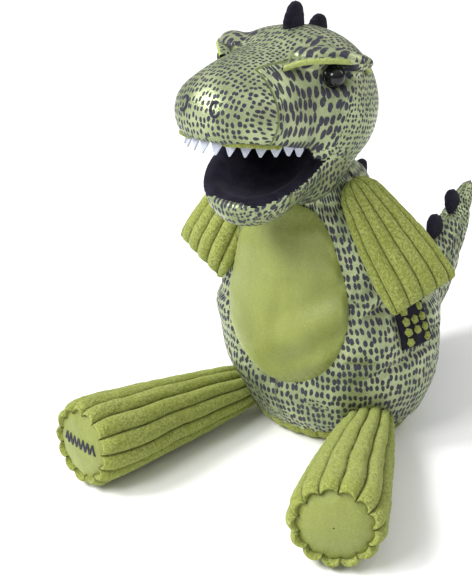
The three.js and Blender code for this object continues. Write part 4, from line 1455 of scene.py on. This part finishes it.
def build_label():
    """A blank folded label whose end stands out of the seam."""
    n, m = 20, 9
    points = []
    for k in range(n):
        t = k / (n - 1)
        for i in range(m):
            x = -32 + 16 * (i / (m - 1) - 0.5)
            y = 42 + 21.5 * t
            z = 14 + 1.1 * math.sin(t * 2.6) - 2.2 * t * t + 0.25 * math.sin(i * 0.8)
            points.append((x, y, z))
    sheet = make_mesh("label_cloth", points, grid_faces(n, m, False), TEETH)
    solidify = sheet.modifiers.new("thickness", "SOLIDIFY")
    solidify.thickness = 0.0005
    solidify.offset = 0
    return sheet


# ---------------------------------------------------------------- camera, light and floor

def add_camera():
    azimuth, elevation, distance = math.radians(37), math.radians(24), 0.9
    target = Vector((-0.0727, -0.0133, 0.0744))
    back = Vector((math.sin(azimuth) * math.cos(elevation), -math.cos(azimuth) * math.cos(elevation),
                   math.sin(elevation)))
    data = bpy.data.cameras.new("camera")
    data.lens = 80
    data.sensor_width = 36
    data.sensor_fit = "AUTO"
    camera = bpy.data.objects.new("camera", data)
    camera.location = target + back * distance
    camera.rotation_euler = (-back).to_track_quat("-Z", "Y").to_euler()
    bpy.context.scene.collection.objects.link(camera)
    bpy.context.scene.camera = camera


def add_light(name, place, target, power, size):
    data = bpy.data.lights.new(name, "AREA")
    data.energy = power
    data.size = size
    light = bpy.data.objects.new(name, data)
    light.location = place
    light.rotation_euler = (Vector(target) - Vector(place)).to_track_quat("-Z", "Y").to_euler()
    bpy.context.scene.collection.objects.link(light)


def add_surroundings():
    floor_material, n, shader = new_material("floor")
    grain = n.noise(n.place(), 30, 2)
    n.link(n.mix(grain, (0.93, 0.93, 0.93), (0.95, 0.95, 0.95)), shader.inputs["Base Color"])
    shader.inputs["Roughness"].default_value = 0.9
    shader.inputs["Specular IOR Level"].default_value = 0.1
    floor = make_mesh("floor", [(-6000, -6000, 0), (6000, -6000, 0), (6000, 6000, 0), (-6000, 6000, 0)],
                      [(0, 1, 2, 3)], floor_material, False)
    world = bpy.data.worlds.new("world")
    bpy.context.scene.world = world
    world.use_nodes = True
    tree = world.node_tree
    background = tree.nodes["Background"]
    direction = tree.nodes.new("ShaderNodeTexCoord")
    parts = tree.nodes.new("ShaderNodeSeparateXYZ")
    tree.links.new(direction.outputs["Generated"], parts.inputs[0])
    height = tree.nodes.new("ShaderNodeMapRange")
    height.inputs["From Min"].default_value = 0.0
    height.inputs["From Max"].default_value = 0.9
    height.inputs["To Min"].default_value = 0.22
    height.inputs["To Max"].default_value = 0.8
    tree.links.new(parts.outputs["Z"], height.inputs["Value"])
    tree.links.new(height.outputs[0], background.inputs["Strength"])
    background.inputs["Color"].default_value = (1, 1, 1, 1)
    sun = bpy.data.lights.new("key", "SUN")
    sun.energy = 2.3
    sun.angle = math.radians(20)
    key = bpy.data.objects.new("key", sun)
    key.rotation_euler = Vector((0.42, 0.52, -0.72)).to_track_quat("-Z", "Y").to_euler()
    bpy.context.scene.collection.objects.link(key)
    add_light("softbox", (-0.1, -1.1, 0.95), (0, -0.06, 0.2), 9, 0.45)
    add_light("rim", (0.6, 0.8, 0.9), (0, 0, 0.15), 3, 0.6)
    bpy.context.scene.view_settings.view_transform = "Standard"
    bpy.context.scene.view_settings.look = "None"


def dress(piece, body, nodes=()):
    """Attaches a piece to the body that carries it, if one is given, and hides the part's nodes it stands for."""
    if body is not None:
        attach(piece, body)
    if nodes:
        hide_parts(*nodes)


def assemble_head():
    head, teeth = build_head(), build_teeth()
    dress(head["head_cloth"], "head", ["head_skin", "head_stuffing", "palate_lining"])
    dress(head["lip_edge"], "head")
    dress(teeth, "head", ["tooth_strip"])
    for name, slot, nodes, fill in (
            ("jaw_cloth", "scale_print", ["jaw_skin", "jaw_stuffing"], 0.7),
            ("mouth_lining", "dark_felt", ["jaw_lining"], 0.6),
            ("jaw_edge", "scale_print", [], None)):
        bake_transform(head[name])
        dress(head[name], None, nodes)
    for side in SIDES:
        eye, brow, nostril = build_eye(side), build_brow(side), build_nostril(side)
        dress(eye, "head", [f"eye_{side}"])
        dress(brow, "head", [f"brow_{side}"])
        dress(nostril, "head", [f"nostril_stitch_{side}"])


def assemble_torso():
    torso, belly, seat = build_torso(), build_belly(), build_seat()
    patch, tufts = build_patch()
    label = build_label()
    tape, coil = build_zip_tape(), build_zip_coil()
    dress(torso, "torso", ["torso_skin", "torso_stuffing", "pocket_pouch"])
    dress(belly, "torso", ["belly_panel"])
    dress(seat, "torso", ["seat_panel"])
    dress(patch, "torso", ["hip_patch"])
    dress(tufts, "torso")
    dress(label, "torso", ["care_label"])
    dress(tape, "torso", ["zip_tape"])
    dress(coil, "torso", ["zip_coil"])
    body, bridge = build_slider()
    dress(body, "zip_slider", ["zip_slider"])
    dress(bridge, "zip_slider")
    dress(build_pull(), "zip_pull", ["zip_pull"])


def assemble_limbs():
    for side in SIDES:
        for kind, root_at, end_at, make, reach in (
                ("arm", ARM_ROOT, ARM_END, build_arm, 20), ("leg", LEG_ROOT, LEG_END, build_leg, 26)):
            cloth, limb = make(side), f"{kind}_{side}"
            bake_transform(cloth)
            dress(cloth, None, [f"{limb}_skin", f"{limb}_stuffing"])
        dress(build_foot_pad(side), f"leg_{side}", [f"foot_pad_{side}"])
    dress(build_pad_stitching(), "leg_right")
    tail = build_tail()
    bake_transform(tail)
    dress(tail, None, ["tail_skin", "tail_stuffing"])
    for node, (body_name, spike) in build_spikes().items():
        dress(spike, body_name, [node])


def finish_washers():
    for side in SIDES:
        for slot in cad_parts[f"eye_washer_{side}"].material_slots:
            slot.material = NYLON


add_camera()
add_surroundings()
assemble_head()
assemble_torso()
assemble_limbs()
finish_washers()
